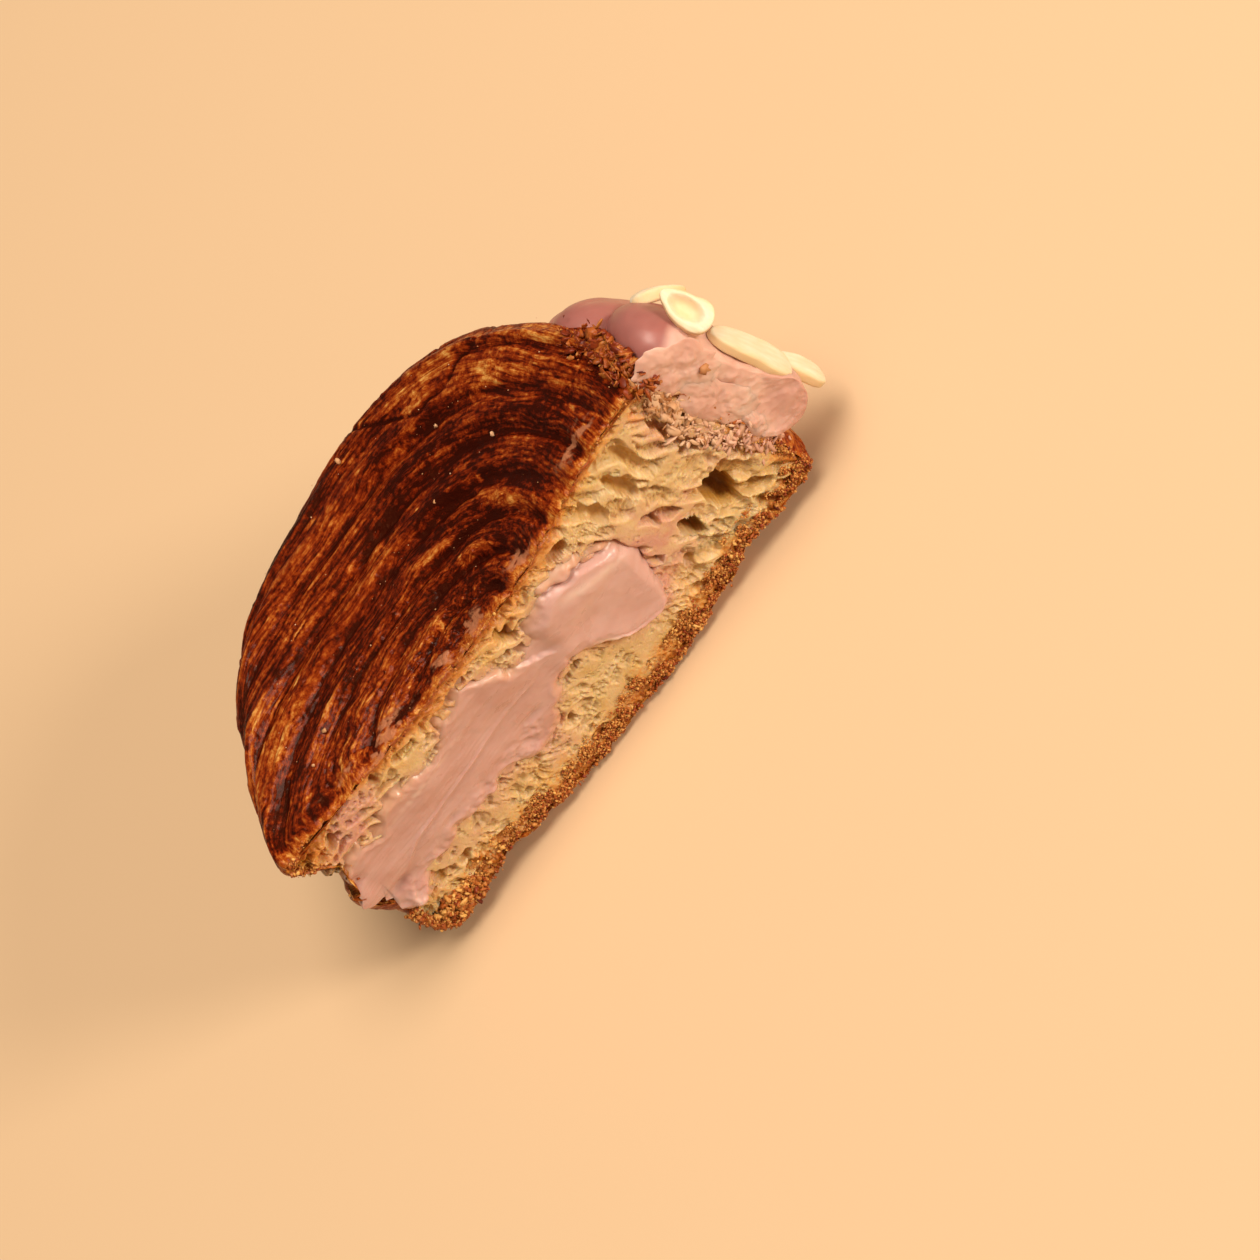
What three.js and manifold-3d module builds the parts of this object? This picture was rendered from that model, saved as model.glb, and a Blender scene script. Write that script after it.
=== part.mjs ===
// Half of a New York roll: a laminated croissant dough coiled flat, baked as a thick round,
// filled with pink cream and cut through its middle. The end of the cut carries three thick
// strokes of pink ganache that run down the rim, with slivered almonds pressed into them.
// It lies on its golden face, with the dark lacquered face up.
//
// Millimetres, +Z up. Shapes are worked out in the roll's own coordinates: the coil's axis is
// x = 0, y = 0, the cut is the plane y = 0, the half fills y > 0, the resting face is z = 0 and
// the ganache is at the +x end. Angles are measured about the axis from +x, in degrees.
import * as THREE from "three";
import { mergeVertices } from "three/addons/utils/BufferGeometryUtils.js";
import Module from "manifold-3d";

const wasm = await Module();
wasm.setup();

// Driving dimensions
const ROLL_RADIUS = 51;
const THICKNESS = 42; // at the axis, where both faces are lowest
const DARK_FACE_DISH = 2.2; // the dark face is this much higher near its rim
const GANACHE_END_RISE = 3.6; // and this much higher again at the +x end
const TOP_SHOULDER = 4; // radius of the edge round the dark face
const BOTTOM_SHOULDER = 4; // radius of the edge round the golden face
const DISH_RADIUS = 44; // where the dark face's rise is measured
const COIL_OFFSET = 8; // the middle of the coil is this far from the axis, towards -x
const COIL_FLATTENING = 0.45; // and its inner turns are this much flatter along y
const COIL_PITCH = 6.3; // one turn of the rolled-up dough
const COIL_STEP = 0.5; // height of its terraces on the dark face
const LAYER_PITCH = 4.1; // the wider of its laminations
const LAYER_STEP = 0.28;
const RIM_BULGE = 0.9; // how far the rim swells out halfway down
const RIM_WAVE = 0.35;
const RESTING_RADIUS = 27; // the flat middle of the golden face
const CREASE_RADIUS = 33; // the sunk ring between that middle and the golden rim
const CREASE_WIDTH = 3.4;
const CREASE_DEPTH = 3.4;
const CUT_END_SPREAD = 20; // degrees round the rim over which it lifts towards the cut
const CUT_END_LIFT = 2.8; // the golden rim is off the table at both ends of the cut
const CRUMB_RELIEF = 0.5; // of the torn crumb on the cut
const FINE_CRUMB_RELIEF = 0.35;
const ORIGIN_FROM_AXIS = 14; // the part's origin lies on the flat middle, this far in from the cut
const GAP = 0.3; // clearance between neighbouring pieces

// Mesh resolution
const FACE_ROWS = 22;
const SHOULDER_ROWS = 4;
const RIM_ROWS = 6;
const GOLDEN_ROWS = 10;
const ARCH_STEPS = 20; // steps from the cut to the middle of the rim
const CUT_RINGS = 7;

const clamp = (x, low, high) => Math.min(high, Math.max(low, x));
const bell = (x, centre, width) => Math.exp(-(((x - centre) / width) ** 2));
const radians = (degrees) => (degrees * Math.PI) / 180;
const degrees = (angle) => (angle * 180) / Math.PI;
// A cosine to a fractional power that keeps its sign: it squares up an ellipse.
const boxy = (value, power) => Math.sign(value) * Math.abs(value) ** power;

function smooth(low, high, x) {
  const t = clamp((x - low) / (high - low), 0, 1);
  return t * t * (3 - 2 * t);
}

// What a list of swells adds at one place along a line or round a circle.
function swelling(swells, place) {
  return swells.reduce((sum, { at, spread, by }) => sum + by * bell(place, at, spread), 0);
}

// The height of a half circle at a share of its radius, which is nothing at the very end.
function rounded(share) {
  const left = 1 - share * share;
  return left > 1e-6 ? Math.sqrt(left) : 0;
}

// A repeatable random number from 0 to 1 for each whole number.
function chance(n) {
  const s = Math.sin(n * 127.1 + 11.7) * 43758.5453;
  return s - Math.floor(s);
}

// A closed solid from closed loops of points, each joined to the next. The first and the last
// loop are a point, or are folded flat on themselves.
function solidFromLoops(loops) {
  const around = loops[0].length;
  const position = new Float32Array(loops.flat(2));
  const index = [];
  for (let i = 0; i + 1 < loops.length; i++) {
    for (let j = 0; j < around; j++) {
      const a = i * around + j;
      const b = i * around + ((j + 1) % around);
      index.push(a, b, b + around, a, b + around, a + around);
    }
  }
  const raw = new THREE.BufferGeometry();
  raw.setAttribute("position", new THREE.BufferAttribute(position, 3));
  raw.setIndex(index);
  const merged = mergeVertices(raw, 1e-3);
  const tri = merged.index.array;
  const kept = [];
  for (let i = 0; i < tri.length; i += 3) {
    const [a, b, c] = [tri[i], tri[i + 1], tri[i + 2]];
    if (a !== b && b !== c && c !== a) kept.push(a, b, c);
  }
  const vertProperties = merged.getAttribute("position").array;
  const build = (triVerts) =>
    new wasm.Manifold(new wasm.Mesh({ numProp: 3, vertProperties, triVerts }));
  const solid = build(new Uint32Array(kept));
  return solid.volume() > 0 ? solid : build(new Uint32Array(kept.reverse()));
}

function solidFromGeometry(geometry) {
  geometry.deleteAttribute("normal");
  geometry.deleteAttribute("uv");
  const merged = mergeVertices(geometry, 1e-3);
  const mesh = new wasm.Mesh({
    numProp: 3,
    vertProperties: merged.getAttribute("position").array,
    triVerts: new Uint32Array(merged.index.array),
  });
  return new wasm.Manifold(mesh);
}

// ---- The roll's own form ----

// The round isn't true: it swells and dips where the coil was loose. Places and spreads are in
// degrees.
const OUTLINE_SWELLS = [
  { at: 131, spread: 15, by: 1.6 },
  { at: 178, spread: 10, by: 0.6 },
  { at: 0, spread: 12, by: -1.4 },
  { at: 38, spread: 14, by: -0.8 },
  { at: 103, spread: 12, by: -0.9 },
  { at: 154, spread: 4.5, by: -0.6 }, // the tail of the coil ends in a notch
];

function outlineRadius(angle) {
  return ROLL_RADIUS + swelling(OUTLINE_SWELLS, degrees(angle));
}

// Distance out from the middle of the coil, which sits off the axis and is flattened along y.
function coilRadius(x, y) {
  let radius = Math.hypot(x, y);
  for (let pass = 0; pass < 4; pass++) {
    const inward = 1 - clamp(radius / ROLL_RADIUS, 0, 1);
    radius = Math.hypot(x + COIL_OFFSET * inward, y / (1 - COIL_FLATTENING * inward));
  }
  return radius;
}

// The dark face: a dish whose rim rises towards the ganache, with the coil's layers as terraces.
function darkFace(x, y) {
  const radius = Math.hypot(x, y);
  const coil = coilRadius(x, y);
  const turn = Math.atan2(y, x) / (2 * Math.PI);
  const terraces =
    COIL_STEP * Math.sin(2 * Math.PI * (coil / COIL_PITCH + turn)) +
    LAYER_STEP * Math.sin(2 * Math.PI * (coil / LAYER_PITCH - 2 * turn));
  const form =
    THICKNESS +
    DARK_FACE_DISH * (radius / DISH_RADIUS) ** 2 +
    GANACHE_END_RISE * smooth(0, DISH_RADIUS, x);
  return form + terraces * smooth(0, COIL_PITCH, coil);
}

// The golden face: a flat middle, a sunk crease and a raised rim that lifts at the cut.
function goldenFace(x, y) {
  const radius = Math.hypot(x, y);
  const angle = degrees(Math.atan2(y, x));
  const atCut = Math.max(bell(angle, 0, CUT_END_SPREAD), bell(angle, 180, CUT_END_SPREAD));
  const lift = CUT_END_LIFT * atCut * smooth(6, CREASE_RADIUS, radius);
  const crease = CREASE_DEPTH * bell(radius, CREASE_RADIUS, CREASE_WIDTH) * (1 - 0.6 * atCut);
  return lift + crease * smooth(RESTING_RADIUS, RESTING_RADIUS + 4, radius);
}

// One meridian of the crust, from the axis over the dark face, down the rim and back under to
// the axis, at one angle and moved out from the surface by a clearance.
function meridian(angle, out = 0) {
  const [c, s] = [Math.cos(angle), Math.sin(angle)];
  const edge = outlineRadius(angle);
  const points = [];
  const add = (radius, height) => points.push([radius * c, radius * s, height]);
  const topEdge = edge - TOP_SHOULDER;
  for (let i = 0; i <= FACE_ROWS; i++) {
    const radius = (topEdge * i) / FACE_ROWS;
    add(radius, darkFace(radius * c, radius * s) + out);
  }
  const top = darkFace(topEdge * c, topEdge * s);
  for (let i = 1; i <= SHOULDER_ROWS; i++) {
    const bend = (i / SHOULDER_ROWS) * (Math.PI / 2);
    add(
      topEdge + (TOP_SHOULDER + out) * Math.sin(bend),
      top - TOP_SHOULDER + (TOP_SHOULDER + out) * Math.cos(bend),
    );
  }
  const bottomEdge = edge - BOTTOM_SHOULDER;
  const bottom = goldenFace(bottomEdge * c, bottomEdge * s);
  const high = top - TOP_SHOULDER;
  const low = bottom + BOTTOM_SHOULDER;
  for (let i = 1; i < RIM_ROWS; i++) {
    const share = i / RIM_ROWS;
    const sag = RIM_BULGE * Math.sin(Math.PI * share) + RIM_WAVE * Math.sin(3 * angle + 9 * share);
    add(edge + out + sag * Math.sin(Math.PI * share), high + (low - high) * share);
  }
  for (let i = 0; i <= SHOULDER_ROWS; i++) {
    const bend = (i / SHOULDER_ROWS) * (Math.PI / 2);
    add(
      bottomEdge + (BOTTOM_SHOULDER + out) * Math.cos(bend),
      bottom + BOTTOM_SHOULDER - (BOTTOM_SHOULDER + out) * Math.sin(bend),
    );
  }
  for (let i = GOLDEN_ROWS - 1; i >= 0; i--) {
    const radius = (bottomEdge * i) / GOLDEN_ROWS;
    add(radius, goldenFace(radius * c, radius * s) - out);
  }
  return points;
}

// Torn crumb: low relief on the cut, in mm along y, about 8 mm and about 4 mm from crest to crest.
function cutRelief(x, z) {
  const coarse = Math.sin(0.8 * x + 0.35 * z) * Math.sin(0.55 * z + 1);
  const fine = Math.sin(1.7 * x);
  return CRUMB_RELIEF * coarse + FINE_CRUMB_RELIEF * fine;
}

// The whole half round, as loops: rings on the cut from its middle out to its edge, then arches
// from the edge back over the round, the last of them folded at the middle of the rim.
function halfRound(out = 0) {
  const arch = (angle) => [
    ...meridian(angle, out),
    ...meridian(Math.PI - angle, out).slice(1, -1).reverse(),
  ];
  const edge = arch(0);
  const loops = [];
  for (let k = 0; k < CUT_RINGS; k++) {
    const share = k / CUT_RINGS;
    loops.push(
      edge.map(([x, , z]) => {
        const px = x * share;
        const pz = THICKNESS / 2 + (z - THICKNESS / 2) * share;
        return [px, cutRelief(px, pz) * (1 - share ** 6), pz];
      }),
    );
  }
  for (let i = 0; i <= ARCH_STEPS; i++) loops.push(arch((Math.PI / 2) * (i / ARCH_STEPS)));
  return solidFromLoops(loops);
}

// ---- The cream ----

// The slab's middle, half length and depth behind the cut, its height off the resting face and
// half height before its swells, how far it stands out of the cut, and how squarely its ends and
// sides turn.
const CREAM = {
  centre: -13.6,
  halfLength: 39,
  depth: 30,
  middle: 24.8,
  halfHeight: 9.4,
  proud: 0.7,
  squareEnds: 0.62,
  squareSides: 0.7,
};
const CREAM_RIM_DEPTH = 5; // behind the cut, the slab ends this deep before it fills the rim
const CREAM_OFF_RIM = 4.5; // and is this much shorter from there on

// Where the slab is waisted or fuller, where its middle line bends, and where it bulges out.
const CREAM_HEIGHTS = [
  { at: 0, spread: 5.5, by: -3.4 },
  { at: 13, spread: 6.5, by: 2.8 },
];
const CREAM_BENDS = [
  { at: 0, spread: 6, by: 1.6 },
  { at: -22, spread: 12, by: -0.8 },
];
const CREAM_END_BULGES = [
  { at: 14, spread: 9, by: 0.9 },
  { at: -49, spread: 4, by: 1.1 },
];
const CREAM_WAVE = 0.3; // the knife's slow waves along the face

// One loop round the cream at a depth behind the cut. It breaks through the rim at the cut's -x
// end, and inside the round it draws in to a rounded end.
function creamLoop(depth, shrink, inset) {
  const loop = [];
  const steps = 44;
  const offRim = CREAM_OFF_RIM * smooth(0, CREAM_RIM_DEPTH, depth);
  for (let j = 0; j < steps; j++) {
    const a = (2 * Math.PI * j) / steps;
    const reach = Math.max(0, (CREAM.halfLength - offRim / 2) * shrink - inset);
    const x = CREAM.centre + offRim / 2 + reach * boxy(Math.cos(a), CREAM.squareEnds);
    const full = CREAM.halfHeight + swelling(CREAM_HEIGHTS, x);
    const height = Math.max(0, full * shrink - inset);
    const middle = CREAM.middle + swelling(CREAM_BENDS, x);
    loop.push([x, depth, middle + height * boxy(Math.sin(a), CREAM.squareSides)]);
  }
  return loop;
}

// How far the cream's face stands out of the cut: a knife-smoothed slab with a fuller +x end.
function creamBulge(x, z) {
  const bulge = swelling(CREAM_END_BULGES, x) * bell(z, CREAM.middle, CREAM.halfHeight);
  return CREAM.proud + bulge + CREAM_WAVE * Math.sin(CREAM_WAVE * x);
}

function cream(inset, front) {
  const loops = [];
  const rings = 5;
  for (let k = 0; k <= rings; k++) {
    const share = k / rings;
    const ring = creamLoop(0, share, inset);
    loops.push(ring.map(([x, , z]) => [x, front(x, z) * (1 - share ** 4), z]));
  }
  const stations = 8;
  for (let i = 1; i <= stations; i++) {
    const turn = (i / stations) * (Math.PI / 2);
    const shrink = i < stations ? Math.cos(turn) ** 0.7 : 0;
    loops.push(creamLoop((CREAM.depth - inset) * Math.sin(turn), shrink, inset));
  }
  return solidFromLoops(loops);
}

// ---- The crumb's open cells ----

// The largest cells that the cut opened: place on the cut, half width, half height and depth.
const OPEN_CELLS = [
  { x: 37.5, z: 17, w: 2.6, h: 5.2, d: 7 },
  { x: 30.2, z: 17, w: 1.4, h: 3.6, d: 5 },
  { x: 42.5, z: 33, w: 1.6, h: 6, d: 3 },
  { x: 31, z: 34, w: 1.6, h: 4.4, d: 3 },
  { x: 17, z: 39, w: 2.4, h: 1.9, d: 4 },
  { x: -24, z: 38.8, w: 2.2, h: 1.1, d: 4 },
  { x: 0.5, z: 38, w: 1.7, h: 2.2, d: 4 },
];

function cell({ x, z, w, h, d }) {
  const sphere = new THREE.SphereGeometry(1, 8, 6);
  sphere.scale(w, d, h);
  sphere.translate(x, 0, z);
  return solidFromGeometry(sphere);
}

// Two rows of small cells in the crumb, below and above the cream: where each row starts, how far
// apart its cells are, how much that varies, and the row's height.
const CELLS_IN_A_ROW = 13;
const LOWER_ROW = { from: -44, pitch: 6.7, vary: 3, z: 8.6, varyZ: 1.6 };
const UPPER_ROW = { from: -40, pitch: 5.4, vary: 2, z: 38.9, varyZ: 0.8 };

function smallCells() {
  const cells = [];
  for (let i = 0; i < CELLS_IN_A_ROW; i++) {
    const place = ({ from, pitch, vary, z, varyZ }, seed) => ({
      x: from + pitch * i + vary * chance(i + seed),
      z: z + varyZ * chance(i + seed + 40),
    });
    cells.push({ ...place(LOWER_ROW, 0), w: 1 + chance(i + 7), h: 1.2 + 0.8 * chance(i + 9), d: 2 });
    if (i % 3 !== 1) cells.push({ ...place(UPPER_ROW, 80), w: 1.3, h: 0.9, d: 2.2 });
  }
  return cells;
}

// ---- The ganache and its almonds ----

// Each stroke's angle at its lower and upper end, the heights where its round ends start, how far
// its top leans in over the shoulder, and its half width.
const STROKES = [
  { from: 3, to: 9, low: 20, high: 40.5, lean: 1.2, halfWidth: 9 },
  { from: 23, to: 24, low: 15, high: 39.5, lean: 4.4, halfWidth: 7.4 },
  { from: 37, to: 37, low: 14, high: 30, lean: 8, halfWidth: 7.4 },
];
const STROKE_CENTRE = 54; // from the axis
const STROKE_HALF_DEPTH = 5.8;
const STROKE_END_RADIUS = 7.4;
const STROKE_WAIST = 0.14; // share by which it is narrower near its middle
const STROKE_WAVE = 0.04;

// A stroke of ganache down the rim: loops across it, fuller towards both round ends.
function stroke({ from, to, low, high, lean, halfWidth }, seed) {
  const loops = [];
  const stations = 14;
  const around = 16;
  for (let i = 0; i <= stations; i++) {
    const t = -Math.cos((Math.PI * i) / stations); // -1 at the lower end, 1 at the upper
    const length = (high - low) / 2 + STROKE_END_RADIUS;
    const z = (low + high) / 2 + t * length;
    const a = radians(from + (to - from) * smooth(10, 46, z));
    const [c, s] = [Math.cos(a), Math.sin(a)];
    const beyond = Math.max(0, Math.abs(t) * length - (high - low) / 2) / STROKE_END_RADIUS;
    const round = rounded(beyond);
    const wave = STROKE_WAVE * Math.sin(5 * t + seed);
    const waist = 1 - STROKE_WAIST * bell(t, 0.05, 0.4) + wave;
    const centre = STROKE_CENTRE - lean * smooth(24, 48, z);
    const loop = [];
    for (let j = 0; j < around; j++) {
      const b = (2 * Math.PI * j) / around;
      const across = halfWidth * waist * round * Math.cos(b);
      const outward = centre + STROKE_HALF_DEPTH * waist * round * Math.sin(b);
      loop.push([outward * c - across * s, outward * s + across * c, z]);
    }
    loops.push(loop);
  }
  return solidFromLoops(loops);
}

// Slivers of almond on the ganache: where the middle of each lies, which way its length runs and
// which way its face looks. A negative curl lifts both ends towards that side.
const ALMONDS = [
  {
    name: "almond_long_cut_side",
    at: [59.5, 3.1, 28.2],
    along: [-0.04, 0, 1],
    facing: [0.95, -0.3, 0],
    length: 19,
    width: 5.6,
    curl: 0.4,
  },
  {
    name: "almond_low_cut_side",
    at: [59.6, 6.4, 14],
    along: [-0.1, 0.12, 1],
    facing: [0.92, -0.2, 0.1],
    length: 12,
    width: 4.6,
    curl: 0.5,
  },
  {
    name: "almond_curled",
    at: [60, 4.8, 43.4],
    along: [-0.05, 0.74, 0.67],
    facing: [0.4, -0.6, 0.68],
    length: 9.6,
    width: 7.2,
    curl: -0.8,
  },
  {
    name: "almond_upper_rim",
    at: [57.9, 14.2, 41],
    along: [0.62, 0, -0.78],
    facing: [0.76, 0.58, 0.27],
    length: 9.5,
    width: 4.6,
    curl: 0.6,
  },
  {
    name: "almond_middle",
    at: [52.5, 26.7, 22],
    along: [-0.15, 0.3, 0.94],
    facing: [0.89, 0.45, 0],
    length: 14,
    width: 5.6,
    curl: 0.9,
  },
  {
    name: "almond_upright",
    at: [48.1, 32.4, 24],
    along: [-0.1, -0.16, 0.98],
    facing: [0.83, 0.56, 0],
    length: 14,
    width: 5.4,
    curl: 0.8,
  },
  {
    name: "almond_low_middle",
    at: [51.3, 28.4, 11.5],
    along: [-0.42, 0.76, 0.5],
    facing: [0.87, 0.48, 0],
    length: 13,
    width: 5.4,
    curl: 0.9,
  },
  {
    name: "almond_far_side",
    at: [42.9, 40, 20],
    along: [0.14, -0.15, 0.98],
    facing: [0.73, 0.68, 0],
    length: 14,
    width: 5.8,
    curl: 1,
  },
];
const ALMOND_THICKNESS = 2.2;

// A sliver: lens-shaped loops along its length, pointed at one end, blunt at the other, curled.
function almond({ at, along, facing, length, width, curl }, grow) {
  const loops = [];
  const stations = 9;
  const around = 8;
  const lengthwise = new THREE.Vector3(...along).normalize();
  const crosswise = new THREE.Vector3(...facing).cross(lengthwise).normalize();
  const outward = new THREE.Vector3().crossVectors(lengthwise, crosswise);
  const pose = new THREE.Matrix4().makeBasis(lengthwise, crosswise, outward).setPosition(...at);
  for (let i = 0; i <= stations; i++) {
    const t = -Math.cos((Math.PI * i) / stations);
    const taper = rounded(t) * (1 - 0.2 * t);
    const loop = [];
    for (let j = 0; j < around; j++) {
      const b = (2 * Math.PI * j) / around;
      const point = new THREE.Vector3(
        (length / 2 + grow) * t,
        (width / 2 + grow) * taper * Math.cos(b),
        (ALMOND_THICKNESS / 2 + grow) * taper ** 0.5 * Math.sin(b) - curl * t * t,
      );
      loop.push(point.applyMatrix4(pose).toArray());
    }
    loops.push(loop);
  }
  return solidFromLoops(loops);
}

// ---- Assembly ----

// Everything in front of the cut at the ganache end, for trimming what the knife went through.
function beforeTheCut() {
  const [length, depth, height] = [60, 30, 120];
  const box = new THREE.BoxGeometry(length, depth, height);
  box.translate(ROLL_RADIUS, -depth / 2, 0);
  return solidFromGeometry(box);
}

const POCKET_MOUTH = 4; // the cream's pocket is cut from this far in front of the cut

const allCells = [...OPEN_CELLS, ...smallCells()].map(cell);
const pocket = cream(0, () => -POCKET_MOUTH);
const pastrySolid = wasm.Manifold.difference([halfRound(), pocket, ...allCells]);
const creamSolid = cream(GAP, (x, z) => -creamBulge(x, z));
const strokesSolid = wasm.Manifold.union(STROKES.map((item, i) => stroke(item, i)));
const almondSockets = ALMONDS.map((item) => almond(item, GAP));
const ganacheSolid = wasm.Manifold.difference([
  strokesSolid,
  halfRound(GAP),
  beforeTheCut(),
  ...almondSockets,
]);

// Booleans can leave specks behind: the piece itself is the largest body.
function largestBody(solid) {
  return solid.decompose().reduce((a, b) => (b.volume() > a.volume() ? b : a));
}

function mesh(name, solid, look) {
  const { vertProperties, triVerts } = largestBody(solid).getMesh();
  const geometry = new THREE.BufferGeometry();
  geometry.setAttribute("position", new THREE.BufferAttribute(vertProperties, 3));
  geometry.setIndex(new THREE.BufferAttribute(triVerts, 1));
  geometry.computeVertexNormals();
  const made = new THREE.Mesh(geometry, new THREE.MeshStandardMaterial(look));
  made.name = name;
  return made;
}

const crustLook = { color: 0x8a4518, roughness: 0.45, metalness: 0 };
const creamLook = { color: 0xd3978c, roughness: 0.4, metalness: 0 };
const ganacheLook = { color: 0xb56b6a, roughness: 0.45, metalness: 0 };
const almondLook = { color: 0xf0dba0, roughness: 0.5, metalness: 0 };

const roll = new THREE.Group();
roll.name = "new_york_roll_half";
roll.position.set(0, -ORIGIN_FROM_AXIS, 0);
roll.add(mesh("pastry", pastrySolid, crustLook));
roll.add(mesh("cream_filling", creamSolid, creamLook));
roll.add(mesh("ganache_strokes", ganacheSolid, ganacheLook));
for (const item of ALMONDS) roll.add(mesh(item.name, almond(item, 0), almondLook));

export default roll;
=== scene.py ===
"""The looks of half a New York roll: coiled laminated crust, torn crumb, pink cream, ganache, almonds.

Shapes are worked out in millimetres in the roll's own coordinates and turned into metres in the
part's frame as each mesh is made. The coil's axis is x = 0, y = 0, the cut is the plane y = 0 and the
half fills y > 0, the resting face is z = 0, and the ganache is at the +x end. A turn is the angle about
the axis from +x. The coil radius is the distance out from the middle of the coil.
"""

import math

import bpy
import numpy as np
from mathutils import Matrix, Vector
from mathutils.geometry import tessellate_polygon


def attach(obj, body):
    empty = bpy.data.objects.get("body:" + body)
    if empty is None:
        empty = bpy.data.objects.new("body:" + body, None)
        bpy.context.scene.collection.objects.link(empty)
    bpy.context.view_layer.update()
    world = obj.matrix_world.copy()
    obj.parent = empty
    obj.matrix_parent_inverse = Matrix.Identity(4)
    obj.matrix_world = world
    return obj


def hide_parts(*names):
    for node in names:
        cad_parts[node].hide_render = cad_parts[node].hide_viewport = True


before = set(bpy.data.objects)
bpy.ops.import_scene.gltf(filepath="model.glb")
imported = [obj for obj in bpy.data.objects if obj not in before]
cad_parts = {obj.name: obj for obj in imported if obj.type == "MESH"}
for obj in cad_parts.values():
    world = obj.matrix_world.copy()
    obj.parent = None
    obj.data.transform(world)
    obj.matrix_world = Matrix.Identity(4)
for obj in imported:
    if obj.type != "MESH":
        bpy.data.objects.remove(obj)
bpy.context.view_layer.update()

# ---- Driving dimensions, in mm ----

MM = 0.001
AXIS_TO_ORIGIN = 14.0  # the part's origin lies this far in from the cut
ROLL_RADIUS = 51.0
THICKNESS = 42.0
DARK_FACE_DISH = 2.2
DISH_RADIUS = 44.0  # where the dark face's rise is measured
GANACHE_END_RISE = 3.6
TOP_SHOULDER = 4.0
BOTTOM_SHOULDER = 4.0
RIM_BULGE = 0.9  # how far the rim swells out halfway down
RIM_WAVE = 0.35
RESTING_RADIUS = 27.0
RESTING_EDGE = 4.0  # over which the golden face leaves its flat middle
CREASE_RADIUS = 33.0
CREASE_WIDTH = 3.4
CREASE_DEPTH = 3.4
CUT_END_SPREAD = 20.0  # degrees round the rim over which it lifts towards the cut
CUT_END_LIFT = 2.8
COIL_OFFSET = 8.0  # the middle of the coil is this far towards -x
COIL_FLATTENING = 0.45
RINGS_MIDDLE = -3.0  # x of the middle of the dark face's rings
RINGS_STRETCH = 0.62  # a place left of it counts as this share as far out
COIL_PITCH = 6.3  # one turn of the rolled-up dough
COIL_STEP = 0.5  # height of its terraces on the dark face
COIL_LAYER_PITCH = 4.1  # the wider of its laminations
LAYER_STEP = 0.28
LAYER_PITCH = 0.95  # one lamination
LAYER_SEED = 41  # of the noise in the dark face's layers
SHOULDER_RUN = 3.0  # the rings go on over a shoulder by this much for each radian of its bend
CRUST_WALL = 2.2
LIP_SLOPE = 5.0  # how far the wall's inner side starts behind the cut
SHELLS_MEET = 17.0  # height at which the dark and the golden shell meet on the cut
NOTCH_DEPTH = 5.0  # of the piece broken out of the rim at the -x end
NOTCH_HEIGHT = 34.5
NOTCH_HALF_HEIGHT = 4.4
NOTCH_REACH = 15.0  # how far behind the cut it runs out


# ---- Numbers ----


def smooth(low, high, x):
    """0 below low, 1 above high, and 3t^2 - 2t^3 between, with t the share of the way."""
    t = np.clip((x - low) / (high - low), 0, 1)
    return t * t * (3 - 2 * t)


def bell(x, centre, width):
    """A bell curve: e to the minus square of (x - centre) / width."""
    return np.exp(-(((x - centre) / width) ** 2))


def spot(x, z, centre_x, centre_z, half_x, half_z):
    """A round bell on a plane: the product of a bell along each way."""
    return bell(x, centre_x, half_x) * bell(z, centre_z, half_z)


def spots(x, z, places):
    """A sum of spots, each given by its middle, its half sizes and its height."""
    return sum(height * spot(x, z, *place) for *place, height in places)


def mix(a, b, share):
    """The share of the way from a to b."""
    return a + (b - a) * share


def boxy(value, power):
    """A cosine or sine to a power that keeps its sign, which squares up an ellipse."""
    return np.sign(value) * np.abs(value) ** power


def scatter(*keys):
    """A repeatable share from 0 to 1 for whole numbers: the fraction of a large multiple of a sine."""
    weights = (127.1, 311.7, 74.7, 269.5)
    total = sum(np.asarray(key, float) * weight for key, weight in zip(keys, weights))
    return np.abs(np.modf(np.sin(total + 0.5) * 43758.5453)[0])


def noise(u, v, seed):
    """Smooth noise, -1 to 1: the corners of each unit square draw a value, eased between them."""
    u, v = np.broadcast_arrays(np.asarray(u, float), np.asarray(v, float))
    iu, iv = np.floor(u), np.floor(v)
    fu, fv = smooth(0, 1, u - iu), smooth(0, 1, v - iv)
    low = mix(scatter(iu, iv, seed), scatter(iu + 1, iv, seed), fu)
    high = mix(scatter(iu, iv + 1, seed), scatter(iu + 1, iv + 1, seed), fu)
    return 2 * mix(low, high, fv) - 1


def rough(u, v, seed, octaves=4):
    """Noise on noise: each octave is twice as fine and half as strong."""
    total = 0
    for k in range(octaves):
        total = total + noise(u * 2**k + 13.7 * k, v * 2**k - 7.3 * k, seed + k) / 2**k
    return total / 1.6


def cells(u, v, seed):
    """Cells round one jittered point in each unit square. Gives how open each place is, the distance to
    the second nearest point less the distance to the nearest, and a share drawn for its cell."""
    iu, iv = np.floor(u), np.floor(v)
    first = np.full(u.shape, 9.0)
    second = np.full(u.shape, 9.0)
    share = np.zeros(u.shape)
    for du in (-1, 0, 1):
        for dv in (-1, 0, 1):
            cu, cv = iu + du, iv + dv
            x = cu + 0.15 + 0.7 * scatter(cu, cv, seed)
            y = cv + 0.15 + 0.7 * scatter(cu, cv, seed + 5)
            gap = np.hypot(u - x, v - y)
            nearer = gap < first
            second = np.where(nearer, first, np.minimum(second, gap))
            share = np.where(nearer, scatter(cu, cv, seed + 9), share)
            first = np.where(nearer, gap, first)
    return second - first, share


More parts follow.
